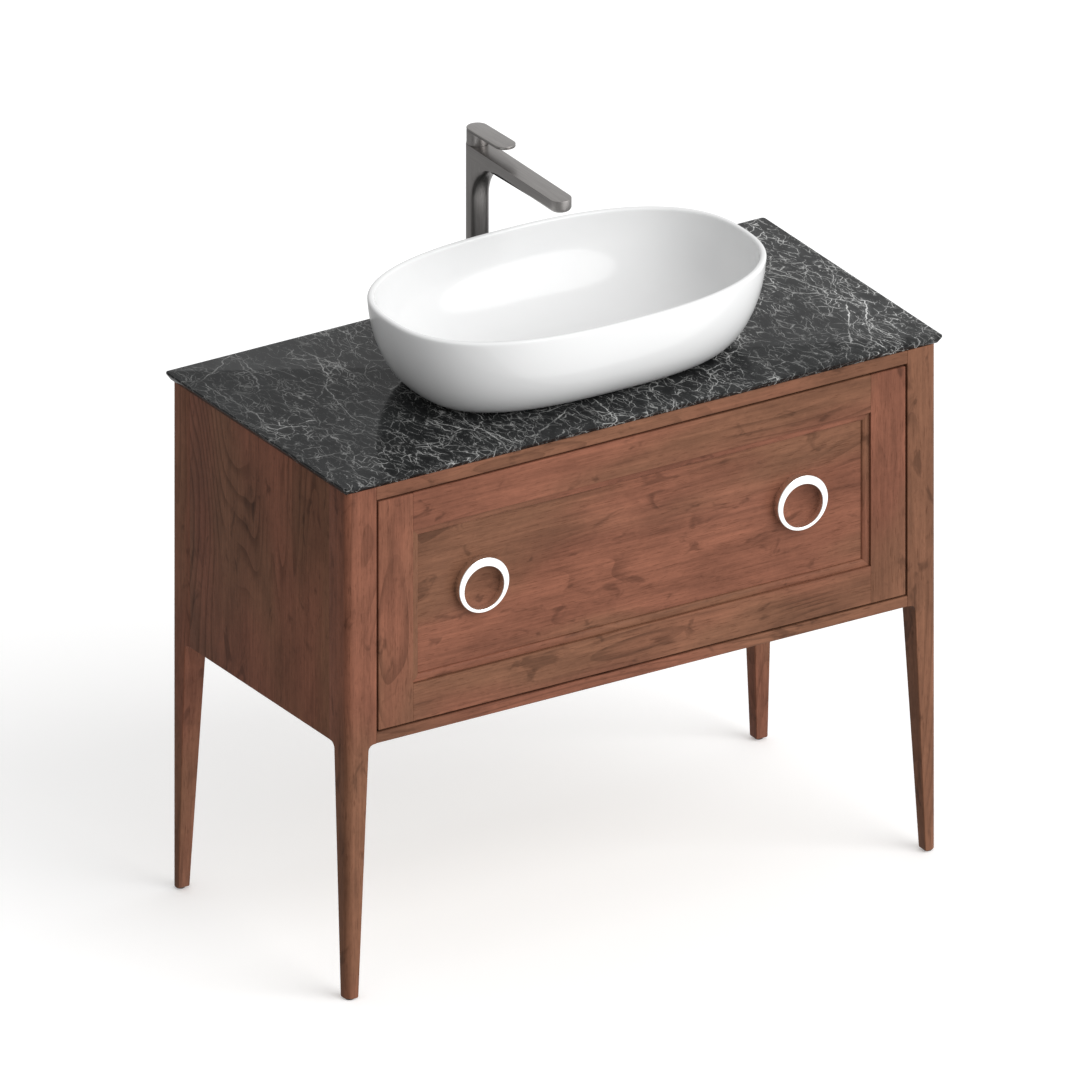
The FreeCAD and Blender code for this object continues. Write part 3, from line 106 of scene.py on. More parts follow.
class Finish:
    """A material that is written as sums on its own nodes."""

    def __init__(self, name, **fixed):
        self.material = bpy.data.materials.new(name)
        self.material.use_nodes = True
        self.tree = self.material.node_tree
        self.shader = self.tree.nodes["Principled BSDF"]
        for socket, value in fixed.items():
            self.shader.inputs[socket.replace("_", " ")].default_value = value

    def add(self, kind, settings=None, inputs=None, output=0):
        """One node: its settings first, then the values or links of its sockets."""
        node = self.tree.nodes.new(kind)
        for name, value in (settings or {}).items():
            setattr(node, name, value)
        for key, value in (inputs or {}).items():
            self.feed(node.inputs[key], value)
        return Value(self, node.outputs[output])

    def feed(self, socket, value):
        if isinstance(value, Value):
            self.tree.links.new(value.socket, socket)
        else:
            socket.default_value = value

    def place(self):
        return self.add("ShaderNodeTexCoord", output="Object")

    def stretched(self, place, scale, shift=(0, 0, 0)):
        return self.add("ShaderNodeVectorMath", {"operation": "MULTIPLY_ADD"}, {0: place, 1: scale, 2: shift})

    def turned(self, place, angles, scale=(1, 1, 1), shift=(0, 0, 0)):
        return self.add("ShaderNodeMapping", None,
                        {"Vector": place, "Rotation": angles, "Scale": scale, "Location": shift})

    def noise(self, place, scale, detail=2.0, roughness=0.5, distortion=0.0):
        return self.add("ShaderNodeTexNoise", None, {"Vector": place, "Scale": scale, "Detail": detail,
                                                     "Roughness": roughness, "Distortion": distortion})

    def between(self, value, low, high, out_low=0.0, out_high=1.0):
        """A soft step from one value to another."""
        return self.add("ShaderNodeMapRange", {"interpolation_type": "SMOOTHSTEP"},
                        {"Value": value, 1: low, 2: high, 3: out_low, 4: out_high})

    def mixed(self, first, second, share, kind="MIX"):
        """Two colours mixed by a share."""
        return self.add("ShaderNodeMix", {"data_type": "RGBA", "blend_type": kind, "clamp_result": True},
                        {0: share, 6: (*first, 1) if isinstance(first, tuple) else first,
                         7: (*second, 1) if isinstance(second, tuple) else second}, output=2)

    def grey(self, value):
        """A number as a colour."""
        return self.add("ShaderNodeCombineColor", None, {0: value, 1: value, 2: value})

    def coat(self, **linked):
        for socket, value in linked.items():
            self.feed(self.shader.inputs[socket.replace("_", " ")], value)
        return self.material

    def bumped(self, height, strength, depth):
        normal = self.add("ShaderNodeBump", None, {"Height": height, "Strength": strength, "Distance": depth})
        self.feed(self.shader.inputs["Normal"], normal)


LONG_WAY = {"x": (1, 0, 0), "y": (0, 1, 0), "z": (0, 0, 1)}


def along_grain(grain, share):
    """Scale factors that draw a pattern out along the grain."""
    return tuple(share if way else 1 for way in LONG_WAY[grain])


def timber(name, grain, seed, warm, cool, dark, gloss, figure=1.0):
    """Lacquered wood: slow patches of colour, drawn-out growth lines, fibres and pores."""
    finish = Finish(name, Specular_IOR_Level=0.05, Coat_Roughness=0.3)
    place = finish.place()
    shift = (seed * 0.731 % 5, seed * 1.137 % 5, seed * 0.417 % 5)

    def drawn(share, *pattern):
        return finish.noise(finish.stretched(place, along_grain(grain, share), shift), *pattern)

    slow = drawn(0.30, 7, 2, 0.5)
    patch = drawn(0.30, 17, 4, 0.62, 0.3)
    streak = drawn(0.06, 60, 3, 0.6)
    rise, lines_per_rise = drawn(0.16, 6.5, 1.5, 0.4, 0.2), 34
    lines = finish.add("ShaderNodeMath", {"operation": "FRACT"}, {0: rise * lines_per_rise})
    shown = finish.between(drawn(0.5, 8, 1), 0.50, 0.62)
    growth = finish.between(lines, 0.45, 0.97) * finish.between(lines, 1.0, 0.97) * shown
    fibre = drawn(0.04, 300, 3, 0.6)
    pore = finish.between(drawn(0.06, 800, 2, 0.5), 0.58, 0.70)
    fleck = drawn(0.7, 110, 3, 0.6, 1.0)
    mark = finish.between(drawn(0.45, 34, 3, 0.6, 0.8), 0.58, 0.70)
    line = drawn(0.05, 150, 3, 0.65)
    colour = finish.mixed(cool, warm, finish.between(slow, 0.40, 0.60))
    shade = 0.30 + 0.36 * finish.between(patch, 0.30, 0.70) + 0.30 * streak + 0.46 * line + 0.34 * fleck
    shade = shade * (0.72 + 0.56 * fibre) * (1 - 0.34 * figure * growth) * (1 - 0.36 * mark)
    colour = finish.mixed(colour, finish.grey(shade), 1.0, "MULTIPLY")
    colour = finish.mixed(colour, dark, pore * 0.45)
    finish.bumped(fibre * 0.5 + line * 0.4 - pore * 0.6 - growth * 0.15, 0.26, 0.14 * MM)
    return finish.coat(Base_Color=colour, Roughness=gloss + 0.10 * fibre + 0.06 * growth,
                       Coat_Weight=0.035 - 0.03 * pore)


WALNUT = {"warm": (0.204, 0.080, 0.049), "cool": (0.178, 0.081, 0.047), "dark": (0.062, 0.023, 0.013)}
PINE = {"warm": (0.43, 0.27, 0.15), "cool": (0.36, 0.21, 0.11), "dark": (0.20, 0.10, 0.05)}


def plywood(name, grain, seed):
    """Birch boards: pale and faintly figured."""
    return timber(name, grain, seed, (0.66, 0.49, 0.32), (0.58, 0.42, 0.27), (0.40, 0.26, 0.15), 0.42, 0.5)


def marble():
    """Polished black marble with drifts of fine white threads."""
    finish = Finish("black_marble", Coat_Weight=0.0, Specular_IOR_Level=0.10)
    place = finish.place()
    wander = finish.add("ShaderNodeTexNoise", None, {"Vector": place, "Scale": 11.0, "Detail": 3.0}, output=1)
    pushed = finish.add("ShaderNodeVectorMath", {"operation": "MULTIPLY_ADD"},
                        {0: wander, 1: (0.045, 0.045, 0.0), 2: place})
    jagged = finish.add("ShaderNodeTexNoise", None, {"Vector": place, "Scale": 95.0, "Detail": 3.0}, output=1)
    pushed = finish.add("ShaderNodeVectorMath", {"operation": "MULTIPLY_ADD"},
                        {0: jagged, 1: (0.009, 0.009, 0.0), 2: pushed})
    swarm = finish.noise(finish.turned(place, (0, 0, math.radians(-24)), (1, 0.5, 1), (3, 1, 0)), 7, 4, 0.62)
    cloud = finish.noise(place, 6, 5, 0.6)
    veins = haze = 0.0
    haze_wide = 9 * MM

    def most(first, second):
        return finish.add("ShaderNodeMath", {"operation": "MAXIMUM"}, {0: first, 1: second})

    # Each family of threads: cells per metre, turn in degrees, stretch, width in millimetres, brightness.
    for number, (cells, turn, stretch, width, share) in enumerate((
            (8.0, -26, 0.50, 0.9, 1.0), (15.0, 38, 0.60, 0.7, 0.75), (23.0, -30, 0.50, 0.7, 0.85),
            (38.0, 20, 0.60, 0.6, 0.65), (58.0, -25, 0.45, 0.6, 0.7), (95.0, -28, 0.40, 0.5, 0.5))):
        way = (0, 0, math.radians(turn))
        web = finish.turned(pushed, way, (1, stretch, 1), (number * 1.7, number * 0.9, 0))
        gap = finish.add("ShaderNodeTexVoronoi", {"feature": "DISTANCE_TO_EDGE"},
                         {"Vector": web, "Scale": cells})
        broken = finish.noise(finish.turned(place, way, (1, 0.6, 1)), 12 + 7 * number, 4, 0.7)
        vein = finish.between(gap, width * MM * cells, 0.0) * finish.between(broken, 0.46, 0.62) * share
        near = finish.between(gap, haze_wide * cells, 0.0) * finish.between(broken, 0.44, 0.60) * share
        veins, haze = most(veins, vein), most(haze, near)
    across = finish.add("ShaderNodeSeparateXYZ", None, {0: place}, output=0)
    there = finish.between(swarm, 0.40, 0.58, 0.34, 1.0) * finish.between(across, 0.10, 0.40, 0.62, 1.35)
    veins, haze = veins * there, haze * there
    dust = finish.noise(finish.turned(pushed, (0, 0, math.radians(-17)), (1, 0.25, 1)), 210, 4, 0.7)
    dust = finish.between(dust, 0.58, 0.78) * finish.between(swarm, 0.42, 0.62, 0.15, 1.0)
    ground = finish.mixed((0.0035, 0.0038, 0.0042), (0.012, 0.0130, 0.0135), finish.between(cloud, 0.3, 0.75))
    colour = finish.mixed(ground, (0.90, 0.90, 0.88), veins)
    colour = finish.mixed(colour, (0.25, 0.26, 0.26), dust * 0.24 + haze * 0.14)
    finish.bumped(cloud, 0.02, 0.1 * MM)
    return finish.coat(Base_Color=colour, Roughness=0.06 + 0.05 * veins + 0.03 * cloud)


def glaze():
    """White glazed ceramic, faintly uneven as fired glaze is."""
    finish = Finish("white_glaze", Coat_Weight=0.15, Coat_Roughness=0.05, Specular_IOR_Level=0.35)
    place = finish.place()
    cloud = finish.noise(place, 14, 3)
    ripple = finish.noise(place, 30, 2)
    speck = finish.between(finish.noise(place, 700, 2), 0.74, 0.80)
    colour = finish.mixed((0.782, 0.786, 0.788), (0.806, 0.808, 0.806), cloud)
    colour = finish.mixed(colour, (0.70, 0.69, 0.67), speck * 0.4)
    finish.bumped(ripple, 0.10, 0.2 * MM)
    return finish.coat(Base_Color=colour, Roughness=0.12 + 0.05 * cloud)


def brushed(name, light, dark, rough, grain="z", grain_above=None, split=0.0):
    """Brushed metal: fine scratches along one axis, or along another above a height."""
    finish = Finish(name, Metallic=1.0)
    place = finish.place()
    scratch = finish.noise(finish.stretched(place, along_grain(grain, 0.02)), 900, 4, 0.7)
    if grain_above:
        upper = finish.noise(finish.stretched(place, along_grain(grain_above, 0.02)), 900, 4, 0.7)
        high = finish.add("ShaderNodeSeparateXYZ", None, {0: place}, output=2)
        over = finish.between(high, split - 2 * MM, split + 2 * MM)
        scratch = scratch * (1 - over) + upper * over
    smear = finish.noise(place, 18, 3, 0.6)
    colour = finish.mixed(dark, light, finish.between(scratch, 0.3, 0.7) * 0.7 + smear * 0.3)
    finish.bumped(scratch, 0.12, 0.05 * MM)
    return finish.coat(Base_Color=colour, Roughness=rough + 0.10 * scratch + 0.05 * smear)


def polished(name, tint, rough):
    """Polished plating with the faint haze of handling."""
    finish = Finish(name, Metallic=1.0)
    place = finish.place()
    haze = finish.noise(place, 45, 4, 0.6)
    hair = finish.noise(finish.stretched(place, (1, 0.1, 1)), 800, 3, 0.7)
    colour = finish.mixed(tuple(0.93 * c for c in tint), tint, haze)
    finish.bumped(hair, 0.03, 0.02 * MM)
    return finish.coat(Base_Color=colour, Roughness=rough + 0.06 * haze + 0.02 * hair)


def moulded(name, light, dark, rough, sheen=0.0):
    """Moulded plastic or rubber with a fine spark-eroded grain."""
    finish = Finish(name, Specular_IOR_Level=0.45)
    place = finish.place()
    grain = finish.noise(place, 1400, 2)
    cloud = finish.noise(place, 25, 3)
    finish.bumped(grain, 0.25, 0.05 * MM)
    return finish.coat(Base_Color=finish.mixed(dark, light, cloud * 0.7 + grain * 0.3),
                       Roughness=rough + 0.12 * grain, Coat_Weight=sheen * cloud)


# --- Shapes ---

def mesh_from(name, points, faces, angle=SMOOTH_ANGLE):
    """A closed mesh with outward faces, smooth except at its edges."""
    mesh = bpy.data.meshes.new(name)
    mesh.from_pydata(points, [], faces)
    return cleaned(mesh, angle)


def cleaned(mesh, angle=SMOOTH_ANGLE, outward=True):
    """Doubles merged, faces pointing out and shading smooth except at edges."""
    shape = bmesh.new()
    shape.from_mesh(mesh)
    bmesh.ops.remove_doubles(shape, verts=shape.verts, dist=0.002 * MM)
    bmesh.ops.dissolve_degenerate(shape, edges=shape.edges, dist=0.001 * MM)
    bmesh.ops.delete(shape, geom=[edge for edge in shape.edges if not edge.link_faces], context="EDGES")
    if outward:
        bmesh.ops.recalc_face_normals(shape, faces=shape.faces)
    shape.to_mesh(mesh)
    shape.free()
    mesh.polygons.foreach_set("use_smooth", [True] * len(mesh.polygons))
    mesh.set_sharp_from_angle(angle=angle)
    mesh.update()
    return mesh


def eased(corners, steps=5):
    """An outline with rounded corners: each corner has two coordinates and its own radius."""
    outline = []
    for number, (across, up, radius) in enumerate(corners):
        here = Vector((across, up))
        if radius <= 0:
            outline.append((across, up))
            continue
        before = (Vector(corners[number - 1][:2]) - here).normalized()
        after = (Vector(corners[(number + 1) % len(corners)][:2]) - here).normalized()
        half = before.angle(after) / 2
        centre = here + (before + after).normalized() * (radius / math.sin(half))
        start = here + before * (radius / math.tan(half)) - centre
        end = here + after * (radius / math.tan(half)) - centre
        sweep = math.atan2(start.x * end.y - start.y * end.x, start.dot(end))
        for step in range(steps + 1):
            turn = sweep * step / steps
            outline.append((centre.x + start.x * math.cos(turn) - start.y * math.sin(turn),
                            centre.y + start.x * math.sin(turn) + start.y * math.cos(turn)))
    return outline


def rectangle(low, high, radii, steps):
    """A rounded rectangle from its low corner round; each corner has its own radius."""
    return eased([(low[0], low[1], radii[0]), (high[0], low[1], radii[1]), (high[0], high[1], radii[2]),
                  (low[0], high[1], radii[3])], steps)


def skinned(rings, closed=False):
    """Points and faces between rings of equal length: capped at both ends, or closed on itself."""
    count = len(rings[0])
    points = [point for ring in rings for point in ring]
    faces = []
    for level in range(len(rings) if closed else len(rings) - 1):
        here, above = level * count, (level + 1) % len(rings) * count
        for step in range(count):
            after = (step + 1) % count
            faces.append((here + step, here + after, above + after, above + step))
    if not closed:
        faces.append(tuple(range(count))[::-1])
        faces.append(tuple(range(len(points) - count, len(points))))
    return points, faces


def spun(outline, centre, axis="z", steps=96):
    """Points and faces of a closed outline of radius and height, turned about an axis."""
    rings = []
    for turn in range(steps):
        angle = 2 * math.pi * turn / steps
        ring = []
        for radius, height in outline:
            across, along = radius * math.cos(angle), radius * math.sin(angle)
            ring.append(centre + Vector((across, along, height) if axis == "z" else (across, height, along)))
        rings.append(ring)
    return skinned(rings, closed=True)


def planed(low, high, along, radii, hair=0.35 * MM):
    """A board: four rounded long edges, from (low, low) round, and a hair off its ends."""
    first, second = [axis for axis in range(3) if axis != along]
    outline = rectangle((low[first], low[second]), (high[first], high[second]), radii, 4)
    middle = ((low[first] + high[first]) / 2, (low[second] + high[second]) / 2)
    shrink = (1 - 2 * hair / (high[first] - low[first]), 1 - 2 * hair / (high[second] - low[second]))
    rings = []
    for at, small in ((low[along], True), (low[along] + hair, False), (high[along] - hair, False),
                      (high[along], True)):
        ring = []
        for a, b in outline:
            if small:
                a, b = middle[0] + (a - middle[0]) * shrink[0], middle[1] + (b - middle[1]) * shrink[1]
            point = [0.0, 0.0, 0.0]
            point[along], point[first], point[second] = at, a, b
            ring.append(tuple(point))
        rings.append(ring)
    return skinned(rings)


def filled(loops):
    """Points and faces of a flat region between loops: the first is its edge, the others are holes."""
    shape = bmesh.new()
    edges = []
    for loop in loops:
        corners = [shape.verts.new(point) for point in loop]
        edges += [shape.edges.new((corners[step - 1], corners[step])) for step in range(len(corners))]
    bmesh.ops.triangle_fill(shape, use_beauty=True, use_dissolve=False, edges=edges)
    shape.verts.index_update()
    points = [vert.co.copy() for vert in shape.verts]
    faces = [tuple(vert.index for vert in face.verts) for face in shape.faces]
    shape.free()
    return points, faces


def joined(*parts):
    """Several lists of points and faces as one."""
    points, faces = [], []
    for more_points, more_faces in parts:
        start = len(points)
        points += list(more_points)
        faces += [tuple(index + start for index in face) for face in more_faces]
    return points, faces


def walled(lower, upper):
    """The open wall between two loops."""
    count = len(lower)
    faces = [(step, (step + 1) % count, count + (step + 1) % count, count + step) for step in range(count)]
    return list(lower) + list(upper), faces


def quarter(steps, first=0):
    """The angles of a quarter turn, in even steps."""
    return [math.pi / 2 * step / steps for step in range(first, steps + 1)]


def circle(centre, radius, steps=64, axis="z"):
    """Evenly spaced points round a circle."""
    points = []
    for step in range(steps):
        angle = 2 * math.pi * step / steps
        across, along = radius * math.cos(angle), radius * math.sin(angle)
        points.append(centre + Vector((across, along, 0) if axis == "z" else (across, 0, along)))
    return points


# --- Pieces ---

def placed(name, data):
    """A new object in the scene."""
    thing = bpy.data.objects.new(name, data)
    bpy.context.scene.collection.objects.link(thing)
    return thing


def settled(thing, *spent):
    """The mesh that an object's modifiers give; the object and the things it used are removed."""
    bpy.context.view_layer.update()
    result = bpy.data.meshes.new_from_object(thing.evaluated_get(bpy.context.evaluated_depsgraph_get()))
    for done in (thing, *spent):
        bpy.data.objects.remove(done)
    return result


def dressed(mesh, material):
    mesh.materials.clear()
    mesh.materials.append(material)


def piece(node, mesh, material):
    """A finished piece that stands for one CAD node and rides on its body."""
    thing = placed(f"finished_{node}", mesh)
    dressed(mesh, material)
    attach(thing, BODY[node])
    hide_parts(node)


def made(node, shape, material, angle=SMOOTH_ANGLE):
    """A piece that is built here."""
    piece(node, mesh_from(f"finished_{node}", *shape, angle), material)


def carved(mesh, *cutters):
    """A mesh with other closed meshes taken away from it."""
    thing = placed("blank", mesh)
    tools = [placed("cutter", cutter) for cutter in cutters]
    for tool in tools:
        step = thing.modifiers.new("cut", "BOOLEAN")
        step.operation, step.solver, step.object = "DIFFERENCE", "MANIFOLD", tool
    return cleaned(settled(thing, *tools), outward=False)


# --- Materials ---

WOODS = {}


def walnut(node, grain, figure=1.0):
    if node not in WOODS:
        seed = 3 + 1.7 * len(WOODS)
        WOODS[node] = timber(f"walnut_{node}", grain, seed, gloss=0.36, figure=figure, **WALNUT)
    return WOODS[node]


STONE = marble()
GLAZE = glaze()
spout_low, spout_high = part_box("tap_body")
SPOUT_BAND = 21 * MM
GUNMETAL = brushed("gunmetal", (0.36, 0.345, 0.335), (0.25, 0.238, 0.232), 0.24, "z", "y",
                   spout_high.z - SPOUT_BAND)
LEVER_METAL = brushed("gunmetal_lever", (0.37, 0.355, 0.345), (0.26, 0.248, 0.242), 0.25, "y")
RING_METAL = polished("polished_ring", (0.93, 0.92, 0.90), 0.16)
CHROME = polished("bright_chrome", (0.80, 0.80, 0.81), 0.05)
SCREW = brushed("screw_steel", (0.62, 0.57, 0.44), (0.46, 0.42, 0.32), 0.30, "x")
PLAIN = {"plated_steel": brushed("plated_steel", (0.62, 0.62, 0.63), (0.48, 0.48, 0.50), 0.30, "y"),
         "brass_shank": brushed("brass_shank", (0.72, 0.54, 0.25), (0.56, 0.41, 0.17), 0.26, "x"),
         "white_plastic": moulded("white_plastic", (0.80, 0.80, 0.785), (0.74, 0.74, 0.72), 0.36, 0.2),
         "black_rubber": moulded("black_rubber", (0.030, 0.030, 0.031), (0.018, 0.018, 0.018), 0.62),
         "glide_nylon": moulded("glide_nylon", (0.065, 0.058, 0.050), (0.040, 0.036, 0.032), 0.48),
         "bright_chrome": CHROME}

# --- Cabinet ---

ARRIS = 1.5 * MM
HAIR = 0.4 * MM

LEG = {"foot": 19 * MM, "foot_edge": 1.6 * MM, "knee": 36 * MM, "post": 49 * MM, "round": 11 * MM,
       "blend": 10 * MM}


def leg(node):
    """A square post, one corner rounded, that narrows to a tapered leg through a small hollow."""
    low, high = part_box(node)
    sign_x = math.copysign(1, low.x + high.x)
    sign_y = math.copysign(1, low.y + high.y)
    corner = Vector((high.x if sign_x > 0 else low.x, high.y if sign_y > 0 else low.y, 0))
    floor, foot, post = low.z, LEG["foot"], LEG["post"]
    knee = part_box("bottom_rail")[0].z
    # Each level: height, side of the square, edge radius and how far the outer faces stand in.
    levels = [(floor, foot - 2 * MM, ARRIS, 0.5 * MM), (floor + 0.7 * MM, foot - 0.6 * MM, ARRIS, 0.15 * MM),
              (floor + LEG["foot_edge"], foot, ARRIS, 0)]
    for step in range(1, 9):
        share = step / 8
        height = floor + LEG["foot_edge"] + (knee - LEG["blend"] - floor - LEG["foot_edge"]) * share
        levels.append((height, foot + (LEG["knee"] - foot) * share, ARRIS, 0))
    for turn in quarter(7, 1):
        levels.append((knee - LEG["blend"] + LEG["blend"] * math.sin(turn),
                       LEG["knee"] + LEG["blend"] * (1 - math.cos(turn)), ARRIS, 0))
    levels += [(knee, post - 0.8 * MM, ARRIS, 0), (knee + 0.25 * MM, post - 0.2 * MM, HAIR, 0),
               (knee + 0.9 * MM, post, HAIR, 0), (high.z, post, HAIR, 0)]
    rings = []
    for height, side, edge, inset in levels:
        front_edge = edge if edge > HAIR else ARRIS * 0.6
        outline = rectangle((inset, inset), (side, side), (LEG["round"], front_edge, edge, edge), 7)
        rings.append([(corner.x - sign_x * a, corner.y - sign_y * b, height) for a, b in outline])
    return skinned(rings)


for corner_name in ("front_left", "front_right", "rear_left", "rear_right"):
    made(f"leg_{corner_name}", leg(f"leg_{corner_name}"), walnut(f"leg_{corner_name}", "z", 0.7))

post_low, post_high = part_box("leg_front_left")
POST_IN = abs(post_low.x + LEG["post"])
for rail_name in ("top_rail", "bottom_rail"):
    low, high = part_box(rail_name)
    made(rail_name, planed(Vector((-POST_IN, low.y, low.z)), Vector((POST_IN, high.y, high.z)), 0,
                           (ARRIS, HAIR, HAIR, ARRIS)), walnut(rail_name, "x", 0.8))
PANEL_THICK = 18 * MM
PANEL_REACH = post_low.y + LEG["post"]
for side_name, sign in (("left", -1), ("right", 1)):
    low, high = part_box(f"side_panel_{side_name}")
    outer = low.x if sign < 0 else high.x
    near, far = sorted((outer, outer - sign * PANEL_THICK))
    made(f"side_panel_{side_name}",
         planed(Vector((near, PANEL_REACH, low.z)), Vector((far, -PANEL_REACH, high.z)), 2, (HAIR,) * 4),
         walnut(f"side_panel_{side_name}", "z"))
for node, grain, seed in (("rear_rail_upper", "x", 40), ("rear_rail_lower", "x", 41), ("battens", "y", 45)):
    dressed(NODES[node].data, timber(f"pine_{node}", grain, seed, gloss=0.55, **PINE))

# --- Worktop ---

SLAB = {"corner": 5 * MM, "bevel_in": 6.5 * MM, "bevel_down": 9 * MM, "arris": 1.0 * MM}
WASTE_HOLE = 27 * MM
TAP_HOLE = 14 * MM


def worktop():
    """The slab: an eased top edge, a short upright band and a bevel that runs in under it."""
    low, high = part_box("worktop")
    basin_at = sum(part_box("basin"), Vector()) / 2
    shank_at = sum(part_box("tap_shank"), Vector()) / 2

    def ring(inset, height):
        radius = max(SLAB["corner"] - inset, 0.8 * MM)
        outline = rectangle((low.x + inset, low.y + inset), (high.x - inset, high.y - inset), (radius,) * 4, 8)
        return [Vector((a, b, height)) for a, b in outline]

    bevel_in, band, arris = SLAB["bevel_in"], low.z + SLAB["bevel_down"], SLAB["arris"]
    rings = [ring(bevel_in, low.z), ring(bevel_in - 0.4 * MM, low.z + 0.1 * MM),
             ring(0.35 * MM, band - 0.5 * MM), ring(0, band + 0.2 * MM)]
    for turn in quarter(5):
        rings.append(ring(arris * (1 - math.cos(turn)), high.z - arris * (1 - math.sin(turn))))
    parts = [walled(rings[level], rings[level + 1]) for level in range(len(rings) - 1)]
    holes = []
    for at, radius in ((basin_at, WASTE_HOLE), (shank_at, TAP_HOLE)):
        lower = circle(Vector((at.x, at.y, low.z)), radius)
        upper = circle(Vector((at.x, at.y, high.z)), radius)
        parts.append(walled(lower, upper))
        holes.append((lower, upper))
    parts.append(filled([rings[-1]] + [upper for lower, upper in holes]))
    parts.append(filled([rings[0]] + [lower for lower, upper in holes]))
    return joined(*parts)


made("worktop", worktop(), STONE)

# --- Basin ---

BASIN = {"wall": 9 * MM, "floor": 13 * MM, "foot": (456 * MM, 236 * MM, 2.75), "rim_oval": 2.48,
         "flat": (330 * MM, 150 * MM, 2.75), "side": 1.74, "lip": 3.9 * MM, "hole": 22.5 * MM}
AROUND = 192


def oval(length, depth, squareness, centre, height):
    """Evenly spaced points round a superellipse."""
    fine = []
    for step in range(2400):
        angle = 2 * math.pi * step / 2400
        across = math.copysign(abs(math.cos(angle)) ** (2 / squareness), math.cos(angle))
        along = math.copysign(abs(math.sin(angle)) ** (2 / squareness), math.sin(angle))
        fine.append(Vector((length / 2 * across, depth / 2 * along)))
    lengths = [0.0]
    for step in range(len(fine)):
        lengths.append(lengths[-1] + (fine[(step + 1) % len(fine)] - fine[step]).length)
    ring, at = [], 0
    for number in range(AROUND):
        target = lengths[-1] * number / AROUND
        while lengths[at + 1] < target:
            at += 1
        share = (target - lengths[at]) / (lengths[at + 1] - lengths[at])
        spot = fine[at].lerp(fine[(at + 1) % len(fine)], share)
        ring.append(Vector((centre.x + spot.x, centre.y + spot.y, height)))
    return ring


def basin():
    """The bowl: a foot oval that swells to the rim, a rounded lip and a quarter-round inside."""
    low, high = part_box("basin")
    centre = (low + high) / 2
    length, depth = high.x - low.x, high.y - low.y
    foot, flat, side, lip, wall = BASIN["foot"], BASIN["flat"], BASIN["side"], BASIN["lip"], BASIN["wall"]
    tall = high.z - low.z
    rings = []

    def shape(start, end, share):
        return tuple(start[part] + (end[part] - start[part]) * share for part in range(3))

    rim = (length, depth, BASIN["rim_oval"])
    rings.append(oval(foot[0] - 8 * MM, foot[1] - 8 * MM, foot[2], centre, low.z))
    for step in range(0, 41):
        turn = math.pi / 2 * (step / 40) ** 1.15
        height = tall * (1 - math.cos(turn) ** (2 / side))
        if height > tall - lip:
            break
        rings.append(oval(*shape(foot, rim, math.sin(turn) ** (2 / side)), centre, low.z + height))
    for turn in quarter(7):
        inset, down = lip * (1 - math.cos(turn)), lip * (1 - math.sin(turn))
        rings.append(oval(length - 2 * inset, depth - 2 * inset, rim[2], centre, high.z - down))
    inner_rim = (length - 2 * wall, depth - 2 * wall, rim[2])
    for turn in reversed(quarter(7)):
        outset = lip * (1 - math.cos(turn))
        rings.append(oval(inner_rim[0] + 2 * outset, inner_rim[1] + 2 * outset, rim[2], centre,
                          high.z - lip * (1 - math.sin(turn))))
    floor = low.z + BASIN["floor"]
    for turn in reversed(quarter(40)):
        height = (high.z - floor) * (1 - math.cos(turn))
        if floor + height > high.z - lip:
            continue
        rings.append(oval(*shape(flat, inner_rim, math.sin(turn)), centre, floor + height))
    for share in (0.25, 0.5, 0.72, 0.88, 0.97):
        hole = (2 * BASIN["hole"], 2 * BASIN["hole"], 2.0)
        rings.append(oval(*shape(flat, hole, share), centre, floor))
    bore, soft = BASIN["hole"], 0.6 * MM
    for radius, height in ((bore + soft, floor), (bore, floor - soft), (bore, low.z)):
        rings.append(oval(2 * radius, 2 * radius, 2.0, centre, height))
    return skinned(rings, closed=True)


made("basin", basin(), GLAZE, math.radians(50))

# --- Tap ---

TAP = {"round": 16.3 * MM, "foot_edge": 0.4 * MM, "thick": 19 * MM, "reach": 221 * MM, "blend": 62 * MM,
       "edge": 6 * MM, "edge_fade": 14 * MM, "top_edge": 0.7 * MM, "pivot": 6 * MM, "seat": 17.11 * MM,
       "bore": 12.1 * MM, "bore_deep": 37.1 * MM, "mouth": 11 * MM, "mouth_deep": 8 * MM}
shank_low, shank_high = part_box("tap_shank")
TAP_AT = Vector(((shank_low.x + shank_high.x) / 2, (shank_low.y + shank_high.y) / 2, 0))
stem_low, stem_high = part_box("cartridge_stem")
PIVOT = stem_high.z - 5 * MM
SPOUT_TOP = PIVOT - TAP["pivot"]


def slot_ring(half, reach, height, inset, split):
    """A slot-shaped ring round the tap's axis, longer to the front; its sides are parted at a fixed reach."""
    near = min(reach, split)
    ring = []
    back, sides_near, sides_far, front = 24, 6, 14, 24
    for step in range(back + 1):
        angle = math.pi * step / back
        width = half - inset(0.0)
        ring.append((width * math.cos(angle), width * math.sin(angle)))
    ahead = [near * step / sides_near for step in range(1, sides_near + 1)]
    ahead += [near + (reach - near) * step / sides_far for step in range(1, sides_far + 1)]
    ring += [(-(half - inset(forward)), -forward) for forward in ahead]
    for step in range(1, front):
        angle = math.pi + math.pi * step / front
        width = half - inset(reach)
        ring.append((width * math.cos(angle), width * math.sin(angle) - reach))
    ring += [(half - inset(forward), -forward) for forward in reversed(ahead)]
    return [TAP_AT + Vector((across, along, height)) for across, along in ring]


